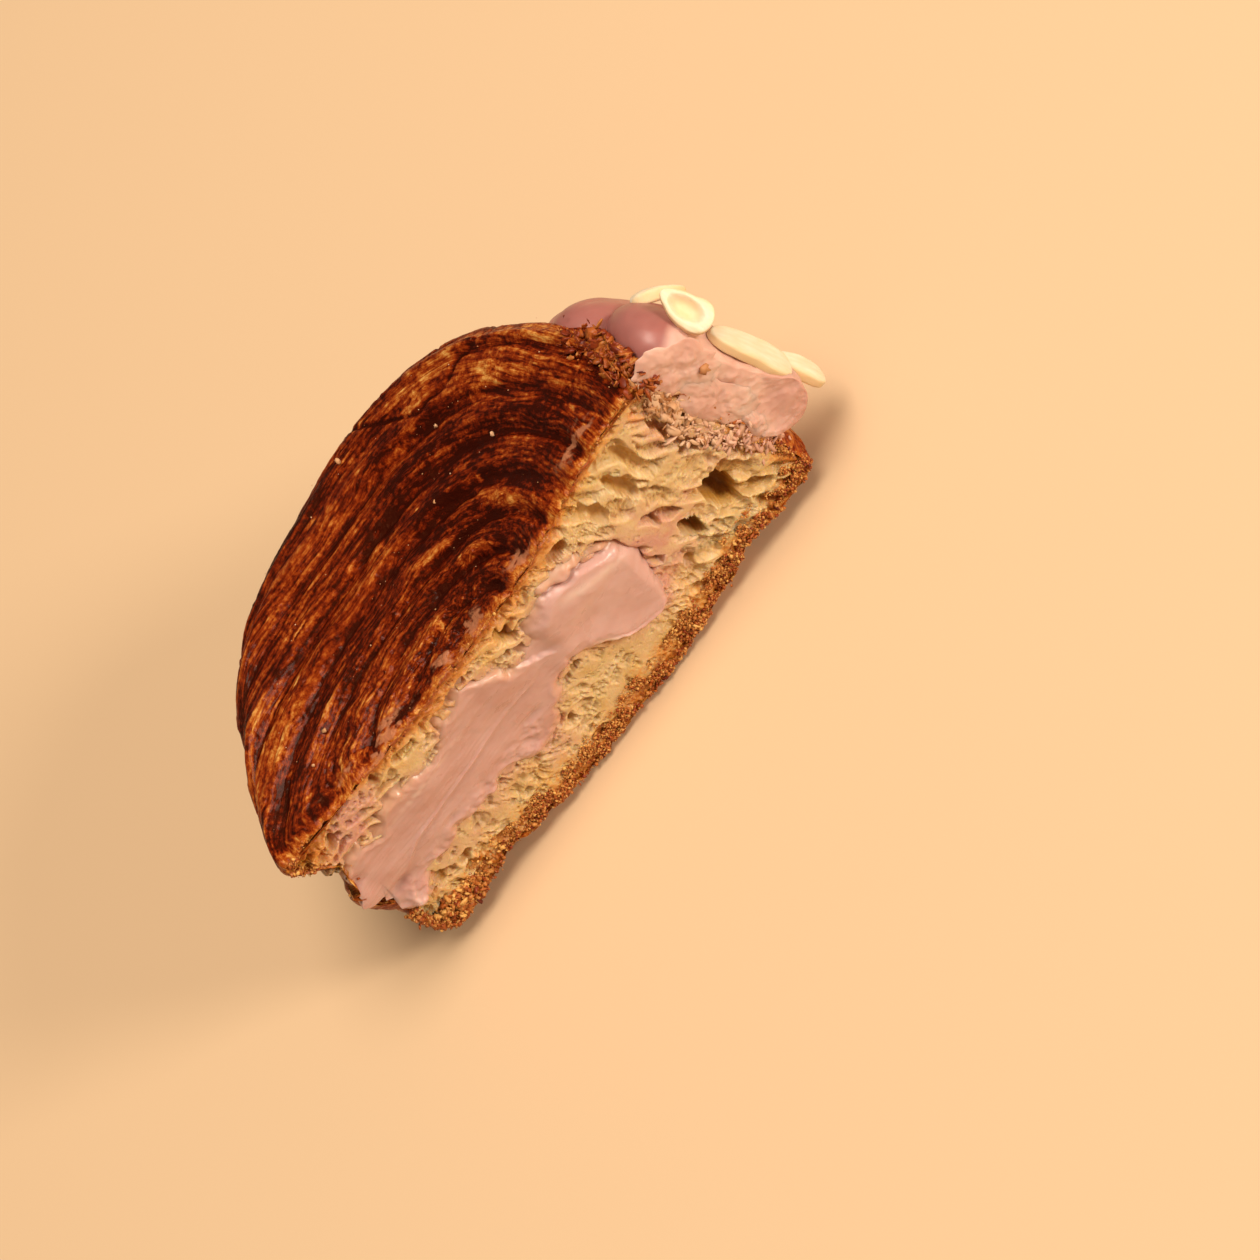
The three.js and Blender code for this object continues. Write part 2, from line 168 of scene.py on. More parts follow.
def curve_through(*points):
    """A smooth curve y(x) through points: on each stretch a cubic that meets its neighbours' slopes."""
    xs, ys = np.array(points, float).T
    slopes = np.gradient(ys, xs)

    def value(x):
        x = np.clip(x, xs[0], xs[-1])
        i = np.clip(np.searchsorted(xs, x, side="right") - 1, 0, len(xs) - 2)
        step = xs[i + 1] - xs[i]
        t = (x - xs[i]) / step
        start = (1 + 2 * t) * (1 - t) ** 2 * ys[i] + t * (1 - t) ** 2 * step * slopes[i]
        end = t * t * (3 - 2 * t) * ys[i + 1] + t * t * (t - 1) * step * slopes[i + 1]
        return start + end

    return value


def softened(loop, reach):
    """A closed loop with each point moved to the mean of itself and its nearest points on both sides."""
    return sum(np.roll(loop, k, axis=0) for k in range(-reach, reach + 1)) / (2 * reach + 1)


def stations_along(count):
    """Places from -1 to 1, as a column, closer together towards both ends: minus a cosine."""
    return -np.cos(np.pi * np.linspace(0, 1, count))[:, None]


def angles_round(count):
    """Evenly spaced angles all the way round, as a row."""
    return 2 * np.pi * np.arange(count)[None, :] / count


# ---- Meshes ----


def weld(points, triangles, values):
    """Points that fall together become one, and triangles that lost their area go."""
    _, keep, where = np.unique(np.round(points, 3), axis=0, return_index=True, return_inverse=True)
    triangles = where.ravel()[triangles]
    a, b, c = triangles.T
    whole = (a != b) & (b != c) & (c != a)
    return points[keep], triangles[whole], {key: value[keep] for key, value in values.items()}


def outward(points, triangles):
    """The triangles with their corners in the order that makes the enclosed volume positive."""
    a, b, c = (points[triangles[:, k]] for k in range(3))
    volume = np.einsum("ij,ij->i", a, np.cross(b, c)).sum()
    return triangles if volume > 0 else triangles[:, ::-1]


def make_piece(name, points, triangles, values, material, slot, *nodes):
    """A Blender object from points in the roll's mm, which stands for the named nodes of the frame."""
    mesh = bpy.data.meshes.new(name)
    placed = (points - (0, AXIS_TO_ORIGIN, 0)) * MM
    mesh.vertices.add(len(placed))
    mesh.vertices.foreach_set("co", placed.astype(np.float32).ravel())
    mesh.loops.add(triangles.size)
    mesh.loops.foreach_set("vertex_index", triangles.astype(np.int32).ravel())
    mesh.polygons.add(len(triangles))
    mesh.polygons.foreach_set("loop_start", np.arange(0, triangles.size, 3, dtype=np.int32))
    mesh.polygons.foreach_set("use_smooth", np.ones(len(triangles), bool))
    mesh.update(calc_edges=True)
    for key, value in values.items():
        kind, field = ("FLOAT", "value") if value.ndim == 1 else ("FLOAT_VECTOR", "vector")
        layer = mesh.attributes.new(key, kind, "POINT")
        layer.data.foreach_set(field, value.astype(np.float32).ravel())
    mesh.materials.append(material)
    piece = bpy.data.objects.new(name, mesh)
    bpy.context.scene.collection.objects.link(piece)
    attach(piece, "root")
    if nodes:
        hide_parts(*nodes)
    return piece


def sewn_piece(name, points, triangles, values, material, slot, *nodes):
    """A piece whose points are welded and whose triangles face outwards."""
    points, triangles, values = weld(points.reshape(-1, 3), triangles, values)
    return make_piece(name, points, outward(points, triangles), values, material, slot, *nodes)


def grid_triangles(columns, rows, round_columns=False, round_rows=False):
    """Two triangles for each square of a grid whose points are numbered column by column."""
    i = np.arange(columns if round_columns else columns - 1)
    j = np.arange(rows if round_rows else rows - 1)
    i, j = np.meshgrid(i, j, indexing="ij")
    right, up = (i + 1) % columns, (j + 1) % rows
    a, b, c, d = i * rows + j, right * rows + j, right * rows + up, i * rows + up
    return np.concatenate([np.stack(t, -1).reshape(-1, 3) for t in ((a, b, c), (a, c, d))])


def cap_triangles(loop, numbers):
    """Triangles that fill one flat closed loop of points."""
    fan = tessellate_polygon([[Vector(point) for point in loop]])
    return numbers[np.array(fan, int)]


def surface_normals(points):
    """Unit normals of a grid of points, from the steps to the neighbours along both of its ways."""
    along = np.gradient(points, axis=0)
    across = np.gradient(points, axis=1)
    normal = np.cross(along, across)
    size = np.linalg.norm(normal, axis=-1, keepdims=True)
    return normal / np.maximum(size, 1e-9)


# ---- The roll's form ----


def outline_radius(angle):
    """The uneven round, for an angle in degrees: the radius with bulges, dips and the coil's tail."""
    swell = 1.6 * bell(angle, 131, 15) + 0.6 * bell(angle, 178, 10)
    dips = 1.4 * bell(angle, 0, 12) + 0.8 * bell(angle, 38, 14) + 0.9 * bell(angle, 103, 12)
    return ROLL_RADIUS + swell - dips - 0.6 * bell(angle, 154, 4.5)


def coil_place(coil, turn):
    """Where a coil radius and a turn lie on the plan: a circle of that radius whose middle slides to -x
    and which flattens along y the further in it is, swollen out to the uneven outline near the rim."""
    inward = np.clip(1 - coil / ROLL_RADIUS, 0, 1)
    x = coil * np.cos(turn) - COIL_OFFSET * inward
    y = coil * np.sin(turn) * (1 - COIL_FLATTENING * inward)
    angle = np.degrees(np.arctan2(y, x))
    swell = 1 + (outline_radius(angle) / ROLL_RADIUS - 1) * smooth(20, ROLL_RADIUS, coil)
    return x * swell, y * swell


def dark_face(x, y):
    """Height of the dark face before its layers: a dish that rises to the rim and to the ganache end."""
    dish = DARK_FACE_DISH * (np.hypot(x, y) / DISH_RADIUS) ** 2
    return THICKNESS + dish + GANACHE_END_RISE * smooth(0, DISH_RADIUS, x)


def golden_face(x, y):
    """Height of the golden face: a flat middle, a sunk crease and a rim that lifts at the cut."""
    radius = np.hypot(x, y)
    angle = np.degrees(np.arctan2(y, x))
    at_cut = np.maximum(bell(angle, 0, CUT_END_SPREAD), bell(angle, 180, CUT_END_SPREAD))
    lift = CUT_END_LIFT * at_cut * smooth(6, 34, radius)
    crease = CREASE_DEPTH * bell(radius, CREASE_RADIUS, CREASE_WIDTH) * (1 - 0.6 * at_cut)
    return lift + crease * smooth(RESTING_RADIUS, RESTING_RADIUS + RESTING_EDGE, radius)


def crust_form(turn, rows):
    """The bare crust as a grid of points, one column for each turn and one row for each entry of rows,
    each of which gives a coil radius, a share of the way down the rim, how far a shoulder has bent and
    whether the row is on the golden side."""
    coil, down, bend, under = (np.broadcast_to(row, (len(turn), len(row))) for row in rows.T)
    turn = turn[:, None]
    top = dark_face(*coil_place(np.minimum(coil, ROLL_RADIUS - TOP_SHOULDER), turn))
    top_edge = dark_face(*coil_place(ROLL_RADIUS - TOP_SHOULDER, turn)) - TOP_SHOULDER
    bottom = golden_face(*coil_place(np.minimum(coil, ROLL_RADIUS - BOTTOM_SHOULDER), turn))
    bottom_edge = golden_face(*coil_place(ROLL_RADIUS - BOTTOM_SHOULDER, turn)) + BOTTOM_SHOULDER
    sag = RIM_BULGE * np.sin(np.pi * down) + RIM_WAVE * np.sin(3 * turn + 9 * down)
    x, y = coil_place(coil, turn)
    outer = 1 + sag * np.sin(np.pi * down) / ROLL_RADIUS
    over = top - TOP_SHOULDER * (1 - np.cos(bend))
    below = bottom + BOTTOM_SHOULDER * (1 - np.cos(bend))
    side = mix(top_edge, bottom_edge, down)
    z = np.where(under > 0, below, np.where(down > 0, side, over))
    x, y = x * outer, y * outer
    # A piece has broken away at the -x end, by the cut.
    notch = NOTCH_DEPTH * (1 - smooth(-50, -44, x)) * bell(z + 1.1 * y, NOTCH_HEIGHT, NOTCH_HALF_HEIGHT)
    return np.stack([x + notch * (1 - smooth(0, NOTCH_REACH, y)), y, z], -1)


def crust_rows(face_step, shoulder_steps, side_step, reach, under):
    """Rows from the middle of a face over its shoulder and the given share of the way round the rim."""
    shoulder = BOTTOM_SHOULDER if under else TOP_SHOULDER
    edge = ROLL_RADIUS - shoulder
    face = np.linspace(0, edge, int(edge / face_step) + 1)
    bend = np.linspace(0, np.pi / 2, shoulder_steps + 1)[1:]
    height = THICKNESS - TOP_SHOULDER - BOTTOM_SHOULDER
    down = np.linspace(0, reach, int(reach * height / side_step) + 1)[1:]
    rows = np.zeros((len(face) + len(bend) + len(down), 4))
    rows[:, 0] = np.concatenate([face, edge + shoulder * np.sin(bend), np.full(len(down), ROLL_RADIUS)])
    rows[len(face) + len(bend) :, 1] = 1 - down if under else down
    rows[len(face) : len(face) + len(bend), 2] = bend
    rows[: len(face) + len(bend), 3] = under
    return rows


# ---- The layers in the crust ----


def layer_place(x, y):
    """The dark face's own rings: how far out a place lies from their middle, and its turn about it. The
    rings are stretched towards -x, so that there they run on past the rim, and flattened towards
    the cut the further in they are."""
    along = x - RINGS_MIDDLE
    along = along * mix(RINGS_STRETCH, 1.0, smooth(-18, 10, along))
    inward = np.clip(1 - np.hypot(along, y) / ROLL_RADIUS, 0, 1)
    across = y / (1 - 0.40 * inward)
    return np.hypot(along, across), np.arctan2(across, along)


def coil_seams(coil, turn):
    """The deep seams where one turn of the coil meets the next, in mm, as a positive depth. Each seam
    lies where the coil radius over the pitch plus the turn is whole, and falls off more steeply on
    its outer side. Its depth comes and goes round the roll."""
    winding = coil / COIL_PITCH + turn / (2 * np.pi) + 0.25
    winding = winding + 0.10 * noise(turn * 2.6, coil / 9, 31) + 0.035 * noise(turn * 11, coil / 4, 32)
    number = np.round(winding)
    across = (winding - number) * COIL_PITCH
    shape = np.where(across < 0, bell(across, 0, 0.55), bell(across, 0, 1.25))
    strength = 0.5 + 0.5 * noise(turn * 1.9 + 7 * scatter(number, 3), number * 1.7, 33)
    middle = smooth(2.5, 7, coil)
    return shape * (0.25 + 1.15 * strength**1.3) * middle * (1 - 0.5 * smooth(40, 48, coil))


def layer_wander(coil, turn, seed):
    """How far the layers stray from true rings, in layers: noise at three sizes."""
    wander = 1.5 * noise(turn * 2.3, coil / 6.5, seed) + 0.7 * noise(turn * 5.1, coil / 2.9, seed + 1)
    return wander + 0.22 * noise(turn * 17, coil / 1.3, seed + 2)


def laminations(coil, turn, seed, pitch):
    """The fine layers. Each runs round the coil in a wavering line. Gives its height, rounded between
    creases and stepped from one layer to the next, a share from 0 in a crease to 1 on its back, and
    a share drawn for each stretch of each layer."""
    layer = coil / pitch + layer_wander(coil, turn, seed)
    number = np.floor(layer)
    across = layer - number
    back = np.sin(np.pi * across) ** 0.55
    stretch = 0.5 + 0.5 * noise(turn * 4.2 + 19 * scatter(number, seed), number * 3.1, seed + 3)
    fine = 0.5 + 0.5 * noise(turn * 13 + 23 * scatter(number, seed + 4), number * 5.3, seed + 5)
    height = (0.12 + 0.30 * stretch**1.4) * (back - 1) + 0.34 * (stretch - 0.5) + 0.12 * (fine - 0.5)
    return height, back, mix(stretch, fine, 0.35)


def blisters(x, y, seed, size, most):
    """Scattered low round blisters: only the peaks of smooth noise stand out."""
    return most * smooth(0.45, 0.95, noise(x / size, y / size, seed))


# Spots on the dark face, each a middle (x, y), half sizes and a height: where it is baked darker or
# paler, where its top brushed dry and tan, and where the knife drew cream over it.
BAKE_SPOTS = ((14, 24, 9, 8, 0.14), (-4, 13, 6, 3, 0.14), (-30, 14, 15, 12, -0.13))
TAN_SPOTS = (
    (-8, 40, 5, 2.5, 1), (17, 39.5, 7, 3, 1), (32, 29, 9, 5, 1), (30, 37, 8, 2, 0.8),
    (-22, 34, 6, 3, 0.7), (-36, 20, 6, 3, 0.5),
)  # fmt: skip
FILM_SPOTS = (
    (-23, 1.6, 5, 2.2, 1), (-4, 2, 7, 1.6, 1), (14, 1.6, 3, 1.6, 1), (34, 4, 5, 2, 0.8),
    (-34, 2, 4, 1.4, 0.6),
)  # fmt: skip
LENS_BAKE = 0.33  # how dark the lens-shaped patches are baked


def dark_marks(x, y):
    """Single marks on the dark face, each 0 to about 1: two smooth lens-shaped patches, a crease on the
    side away from the cut, and one lifted flake."""
    lens = bell(y - 17.6 + 0.34 * (x - 2.6), 0, 1.0) * bell(x, 2.6, 5.2)
    lens = lens + 0.8 * bell(x - 18.6 + 0.42 * (y - 10.6), 0, 1.7) * bell(y, 10.6, 6.5)
    crease_y = 35.0 + 0.035 * (x - 25) ** 2 * (x < 25)
    crease = bell(y, crease_y + 0.7 * noise(x / 4, 0 * x, 73), 0.45) * smooth(2, 7, x) * smooth(36, 30, x)
    return lens, crease, spot(x, y, -4.5, 28.3, 1.7, 0.9)


def dark_zones(coil, turn, x, y):
    """Broad tones of the dark face: dark zones where the coil sank, and tan where the top brushed dry.
    Gives how much darker the zones are, and the tan, 0 to 1."""
    zones = 0.24 * rough(coil / 3.2, turn * 2.4, 81, 3) + 0.10 * rough(x / 3, y / 3, 83, 3)
    zones = zones + 0.16 * bell(x - 13 + 0.9 * (y - 21), 0, 3) * bell(y, 15, 9) + spots(x, y, BAKE_SPOTS)
    tan = spots(x, y, TAN_SPOTS) + 0.6 * smooth(44, 48, np.hypot(x, y)) * smooth(-10, 10, x)
    return zones, np.clip(tan, 0, 1) * (0.6 + 0.9 * rough(x / 1.5, y / 1.5, 85, 3))


def dark_relief(coil, turn, x, y):
    """Relief of the dark face in mm, and how dark each place is baked, 0 pale gold to 1 near black, with
    thin painted glints made paler, from the ring and turn a place lies at."""
    turns = COIL_STEP * np.sin(2 * np.pi * (coil / COIL_PITCH + turn / (2 * np.pi)))
    turns = turns + LAYER_STEP * np.sin(2 * np.pi * (coil / COIL_LAYER_PITCH - turn / np.pi))
    seams = coil_seams(coil, turn)
    height, back, share = laminations(coil, turn, LAYER_SEED, LAYER_PITCH)
    broad, broad_back, broad_share = laminations(coil, turn, 61, 2.9 * LAYER_PITCH)
    lens, crease, flake = dark_marks(x, y)
    dents = 0.30 * rough(x / 9, y / 9, 71, 3)
    grit = 0.07 * rough(x / 0.8, y / 0.8, 75, 2)
    low = smooth(0, 3, coil)
    relief = 0.55 * turns - 0.6 * seams + 0.55 * height + 0.30 * broad
    relief = relief * low * (1 - 0.7 * np.clip(lens, 0, 1)) + 0.5 * lens - 0.5 * crease + 0.5 * flake
    relief = relief + dents + grit + blisters(x, y, 77, 0.9, 0.14)

    zones, tan = dark_zones(coil, turn, x, y)
    bake = 0.58 + zones - 0.36 * tan - 0.42 * (share - 0.5) - 0.30 * (broad_share - 0.5)
    bake = bake + 0.30 * (1 - back) ** 1.2 + 0.12 * (1 - broad_back) + 0.30 * np.clip(seams, 0, 1.2)
    bake = mix(bake, LENS_BAKE, 0.92 * np.clip(1.5 * lens, 0, 1)) + 0.35 * crease - 0.40 * flake
    # Thin pale threads along the layers: painted glints on the glossy crust.
    painted_glint = smooth(0.55, 0.95, noise(turn * 13, coil / 0.45, 87))
    painted_glint = painted_glint * smooth(0.1, 0.5, noise(x / 6, y / 6, 88))
    bake = bake - 0.45 * painted_glint * smooth(4, 12, coil)
    return relief, bake


def golden_relief(coil, turn, x, y):
    """Relief of the golden face in mm, and how dark it is baked: very fine rings, a dark crease and a
    raised, flaky brown rim."""
    height, back, share = laminations(coil, turn, 141, 0.8)
    radius = np.hypot(x, y)
    rim = smooth(36, 40, radius)
    crease = bell(radius, CREASE_RADIUS, 2.6)
    flat = 1 - smooth(RESTING_RADIUS - 2, RESTING_RADIUS + 3, radius)
    plates, plate_share = cells(coil / 3.2, turn * 4.5, 151)
    flakes = rim * (0.5 * (plate_share - 0.5) - 0.35 * (1 - smooth(0, 0.12, plates)))
    relief = 0.5 * height - 0.12 + flakes * (1 - flat) + 0.25 * rough(x / 6, y / 6, 155, 3) * (1 - flat)
    relief = np.where(flat > 0.5, np.minimum(relief, 0), relief)
    bake = 0.16 + 0.10 * rough(x / 7, y / 7, 157, 3) - 0.14 * (share - 0.5) + 0.14 * (1 - back)
    bake = bake + 0.34 * crease + 0.26 * rim + 0.14 * rim * (plate_share - 0.5)
    return relief, bake


def rim_relief(turn, z, seed):
    """Relief of the rim in mm, and how dark it is baked: broad dents, thin plates of skin that have
    lifted at their edges, and fine wrinkles along the rim."""
    arc = turn * ROLL_RADIUS
    u = arc + 2.5 * noise(arc / 9, z / 5, seed)
    v = z + 1.6 * noise(arc / 7, z / 6, seed + 1)
    plates, share = cells(u / 13, v / 5.2, seed + 2)
    edge = 1 - smooth(0, 0.10, plates)
    scales, scale_share = cells(u / 4.2, v / 1.9, seed + 5)
    wrinkles = rough(arc / 6, z / 0.9, seed + 6, 3)
    dents = 0.55 * rough(arc / 13, z / 9, seed + 7, 3)
    relief = dents + 0.75 * (share - 0.5) - 0.45 * edge + 0.16 * (scale_share - 0.5) + 0.13 * wrinkles
    relief = relief - 0.12 * (1 - smooth(0, 0.12, scales))
    bake = 0.47 + 0.13 * rough(arc / 8, z / 5, seed + 8, 4) - 0.20 * (share - 0.5)
    bake = bake - 0.13 * (scale_share - 0.5) + 0.22 * edge - 0.07 * wrinkles
    return relief, bake


def crust_relief(points, turn, rows, under):
    """Relief and bake for every point of a crust grid, blended from the face to the rim over the
    shoulder, and quietened close to the cut, where the knife pressed the layers together."""
    x, y, z = np.moveaxis(points, -1, 0)
    coil = np.broadcast_to(rows[:, 0], x.shape)
    bend = np.broadcast_to(rows[:, 2], x.shape)
    down = np.broadcast_to(rows[:, 1], x.shape)
    turn = np.broadcast_to(turn[:, None], x.shape)
    on_rim = np.where(down > 0, 1, smooth(0.15 * np.pi, 0.5 * np.pi, bend))
    if under:
        face_relief, face_bake = golden_relief(coil + SHOULDER_RUN * bend, turn, x, y)
    else:
        ring, ring_turn = layer_place(x, y)
        face_relief, face_bake = dark_relief(ring + SHOULDER_RUN * bend, ring_turn, x, y)
    side_relief, side_bake = rim_relief(turn, z, 201)
    top_tone = 0.16 * smooth(18, 40, z)
    relief = mix(face_relief, side_relief, on_rim)
    bake = mix(face_bake, side_bake + top_tone, on_rim)
    relief = relief * (0.45 + 0.55 * smooth(0, 3, y))
    # At the cut the crust turns in and is chipped, most on its golden side and at the -x end, and a
    # ragged band shows orange dough under the skin.
    chipped = 0.5 + 0.5 * rough(x / 2.6, z / 2.6, 93, 3)
    at_end = 1 - smooth(-50, -43, x)
    reach = (1.1 if under else 0.3) + at_end * (0.9 + 3.0 * smooth(13, 18, z) * (1 - smooth(30, 34, z)))
    relief = relief - 0.30 * np.clip(1.3 - y, 0, 1.3) ** 2 - reach * chipped * (1 - smooth(0, 2.8, y))
    ragged = 0.4 * rough(x / 1.3, z / 1.3, 95, 3) + 0.4 * noise(x / 3.5, z / 3.5, 98)
    bare = 0.30 + 0.12 * noise(x / 0.9, y / 0.9, 99) + 0.09 * y
    bake = mix(bare, bake, smooth(0.1, 1.5, y - 0.9 * ragged - 0.45 - 1.5 * at_end))
    return relief, bake


def crust_film(x, y, under):
    """Where the knife drew a broken film of cream over the dark face near the cut, 0 to 1."""
    if under:
        return np.zeros(x.shape)
    broken = smooth(-0.25, 0.45, rough(x / 2.2, y / 1.1, 461, 3))
    return np.clip(1.25 * spots(x, y, FILM_SPOTS) * broken, 0, 0.85)


def crust_grid(turn, rows, under):
    """The crust with its relief: the bare form, moved along its normals. Also gives the bare form, its
    normals, the bake and the film of cream."""
    form = crust_form(turn, rows)
    upright = (0, 0, -1 if under else 1)
    normal = surface_normals(form)
    normal[:, 0] = upright
    normal[:, 1:] *= np.sign((normal[len(turn) // 2, 10] * upright).sum())
    relief, bake = crust_relief(form, turn, rows, under)
    relief[:, 0] = relief[:, 1].mean()
    film = crust_film(form[..., 0], form[..., 1], under)
    outer = form + normal * (relief + 0.15 * film)[..., None]
    outer[..., 2] = np.maximum(outer[..., 2], 0)
    return outer, form, normal, bake, film


CRUST_COLUMNS = 308
DARK_ROWS = crust_rows(face_step=0.225, shoulder_steps=30, side_step=0.5, reach=0.66, under=0)
GOLDEN_ROWS = crust_rows(face_step=0.42, shoulder_steps=16, side_step=0.5, reach=0.40, under=1)
INNER_ROWS = 26  # of the wall's plain inner side
INNER_BAKE = 0.14  # how dark that side is baked
STRAND_RADIUS = 30.0  # the strands' length round the coil is measured at this radius


def crust_strands(turn, rows, form, height, under):
    """Coordinates that run with the layers, for the fine strands in the crust's material: how far round
    the rings a place lies, how far out, with the layers' wander, and its height."""
    if under:
        ring, ring_turn = np.broadcast_arrays(rows[:, 0], turn[:, None])
    else:
        ring, ring_turn = layer_place(form[..., 0], form[..., 1])
    ring = ring + SHOULDER_RUN * rows[:, 2]
    wander = layer_wander(ring, ring_turn, LAYER_SEED) * LAYER_PITCH
    return np.stack([STRAND_RADIUS * ring_turn, ring + wander, height], -1)


def crust_shell(name, rows, under, material):
    """One closed shell of crust: the outer grid, a plain inner wall inside it, and a flat lip that joins
    the two all along the cut."""
    turn = np.linspace(0, np.pi, CRUST_COLUMNS)
    outer, form, normal, bake, film = crust_grid(turn, rows, under)
    step = np.unique(np.linspace(0, len(rows) - 1, INNER_ROWS).astype(int))[::-1]
    inner = form[:, step] - normal[:, step] * CRUST_WALL
    strand = crust_strands(turn, rows, form, outer[..., 2], under)
    values = {
        "film": np.pad(film, ((0, 0), (0, len(step)))).ravel(),
        "bake": np.pad(bake, ((0, 0), (0, len(step))), constant_values=INNER_BAKE).ravel(),
        "strand": np.concatenate([strand, inner], 1).reshape(-1, 3),
    }
    points = np.concatenate([outer, inner], axis=1)
    # The edge of the crust on the cut is a little torn, and the wall behind it slopes back, so that the
    # crumb reaches out to the skin.
    torn = 0.4 * noise(points[..., 0] / 1.1, points[..., 2] / 1.1, 91) - 0.22
    points[..., 1] += torn * (1 - smooth(0, 2.5, points[..., 1]))
    points[:, len(rows) :, 1] += LIP_SLOPE * (1 - smooth(0, 2 * LIP_SLOPE, points[:, len(rows) :, 1]))
    around = points.shape[1]
    points = points.reshape(-1, 3)
    first = np.arange(around)
    last = first + len(points) - around
    triangles = [grid_triangles(CRUST_COLUMNS, around, round_rows=True)]
    for ring, order in ((first, -1), (last, 1)):
        triangles.append(cap_triangles(points[ring] * (1, 0, 1), ring)[:, ::order])
    return sewn_piece(name, points, np.concatenate(triangles), values, material, "crust", "pastry")


def cut_outline(count):
    """The outline of the crust on the cut, as evenly spaced points (x, z) all the way round from the
    middle of the dark face, by way of the ganache end."""
    ends = []
    for turn, step in ((0, 0.02), (np.pi, -0.02)):
        turns = np.array([turn, turn + step])
        dark = crust_grid(turns, DARK_ROWS, 0)[0][0][:, [0, 2]]
        gold = crust_grid(turns, GOLDEN_ROWS, 1)[0][0][:, [0, 2]]
        dark = dark[dark[:, 1] > SHELLS_MEET]
        gold = gold[gold[:, 1] <= SHELLS_MEET]
        ends.append(np.concatenate([dark, gold[::-1]]))
    loop = np.concatenate([ends[0], ends[1][::-1], ends[0][:1]])
    along = np.concatenate([[0], np.cumsum(np.hypot(*np.diff(loop, axis=0).T))])
    even = np.linspace(0, along[-1], count, endpoint=False)
    return softened(np.stack([np.interp(even, along, loop[:, k]) for k in (0, 1)], -1), 3)


# ---- The cream's outline on the cut ----

CREAM_TOP = curve_through(
    (-53, 27), (-50, 30), (-46, 33), (-43, 33.6), (-40, 31.6), (-34, 34), (-27, 32.8), (-21, 33.2),
    (-15, 36), (-10, 36.8), (-7, 34.6), (-4.5, 31.4), (-1, 30.6), (2, 32), (6, 34.8), (10, 36.2),
    (15, 35.6), (19, 33), (22, 29.5), (26, 24.5),
)  # fmt: skip
CREAM_BOTTOM = curve_through(
    (-53, 21), (-49, 15.6), (-46, 13.8), (-43, 15), (-40.5, 17.6), (-36, 16.8), (-32, 19), (-28, 17),
    (-22, 16.8), (-18, 16.6), (-14, 13.2), (-9, 14), (-6, 16.4), (-2.5, 20), (1.5, 21.2), (4, 20.6),
    (7, 18), (10, 13.8), (14, 11.6), (18, 12.2), (21, 16.2), (24, 20.6), (26, 23.5),
)  # fmt: skip
CREAM_LEFT = -48.4
CREAM_FAR_LEFT = -53.0
CREAM_RIGHT = 25.6
CREAM_MARGIN = 2.6  # the cream runs on this far under the crumb, falling away behind the cut
CREAM_EDGE_DEPTH = 3.2  # to here
CREAM_BACK_DEPTH = 12.0  # its back lies this far behind its edge
SEAM_HEIGHT = 25.0  # its front is closed along a line at this height, from end to end
SEAM_ENDS = (-46, 18)


def cream_loop(count):
    """The body's outline on the cut as points (x, z): x runs with a cosine from end to end, and z from
    the middle line past the measured upper or lower curve by the sine to a small power, which rounds
    the ends. It lies a margin outside the cream that shows."""
    angle = 2 * np.pi * np.arange(count) / count
    centre = (CREAM_FAR_LEFT + CREAM_RIGHT) / 2
    x = centre + (CREAM_RIGHT + CREAM_MARGIN - centre) * boxy(np.cos(angle), 0.9)
    middle = (CREAM_TOP(x) + CREAM_BOTTOM(x)) / 2
    half = (CREAM_TOP(x) - CREAM_BOTTOM(x)) / 2
    z = middle + (half + CREAM_MARGIN * smooth(-51, -46, x)) * boxy(np.sin(angle), 0.3)
    # The torn -x end: a tongue and a lobe that reach out past the broken crust.
    reach = 3.0 * bell(z, 25.0, 1.9) + 1.4 * bell(z, 15.5, 2.6) + 0.7 * noise(z / 1.3, 0 * z, 307)
    x = np.maximum(x, CREAM_LEFT - reach)
    return softened(np.stack([x, z], -1), 4)


def cream_depth(x, z):
    """Signed depth inside the cream's outline in mm: positive in the cream, negative outside. It is the
    gap to the upper or lower curve along z, less where the curve is steep, with a wandering edge."""
    x = x + 0.9 * noise(x / 3.1, z / 3.3, 303) + 0.35 * noise(x / 1.1, z / 1.2, 304)
    z = z + 0.9 * noise(x / 3.4, z / 3.0, 305) + 0.35 * noise(x / 1.2, z / 1.1, 306)
    step = 0.5
    gaps = []
    for curve, side in ((CREAM_TOP, 1), (CREAM_BOTTOM, -1)):
        slope = (curve(x + step) - curve(x - step)) / (2 * step)
        gaps.append(side * (curve(x) - z) / np.sqrt(1 + slope**2))
    return np.minimum(np.minimum(*gaps), CREAM_RIGHT - x)


# ---- The crumb ----

CUT_MIDDLE = np.array((0, 24))
DARK_EDGE = 30.0  # the outline of the cut above this height borders the dark face
# The ring of crumb in lengths, as shares of the way round from the middle of the dark face.
CRUMB_LENGTHS = (("crumb_ganache_end", 0.06, 0.40), ("crumb_below", 0.40, 0.70), ("crumb_above", 0.70, 1.06))

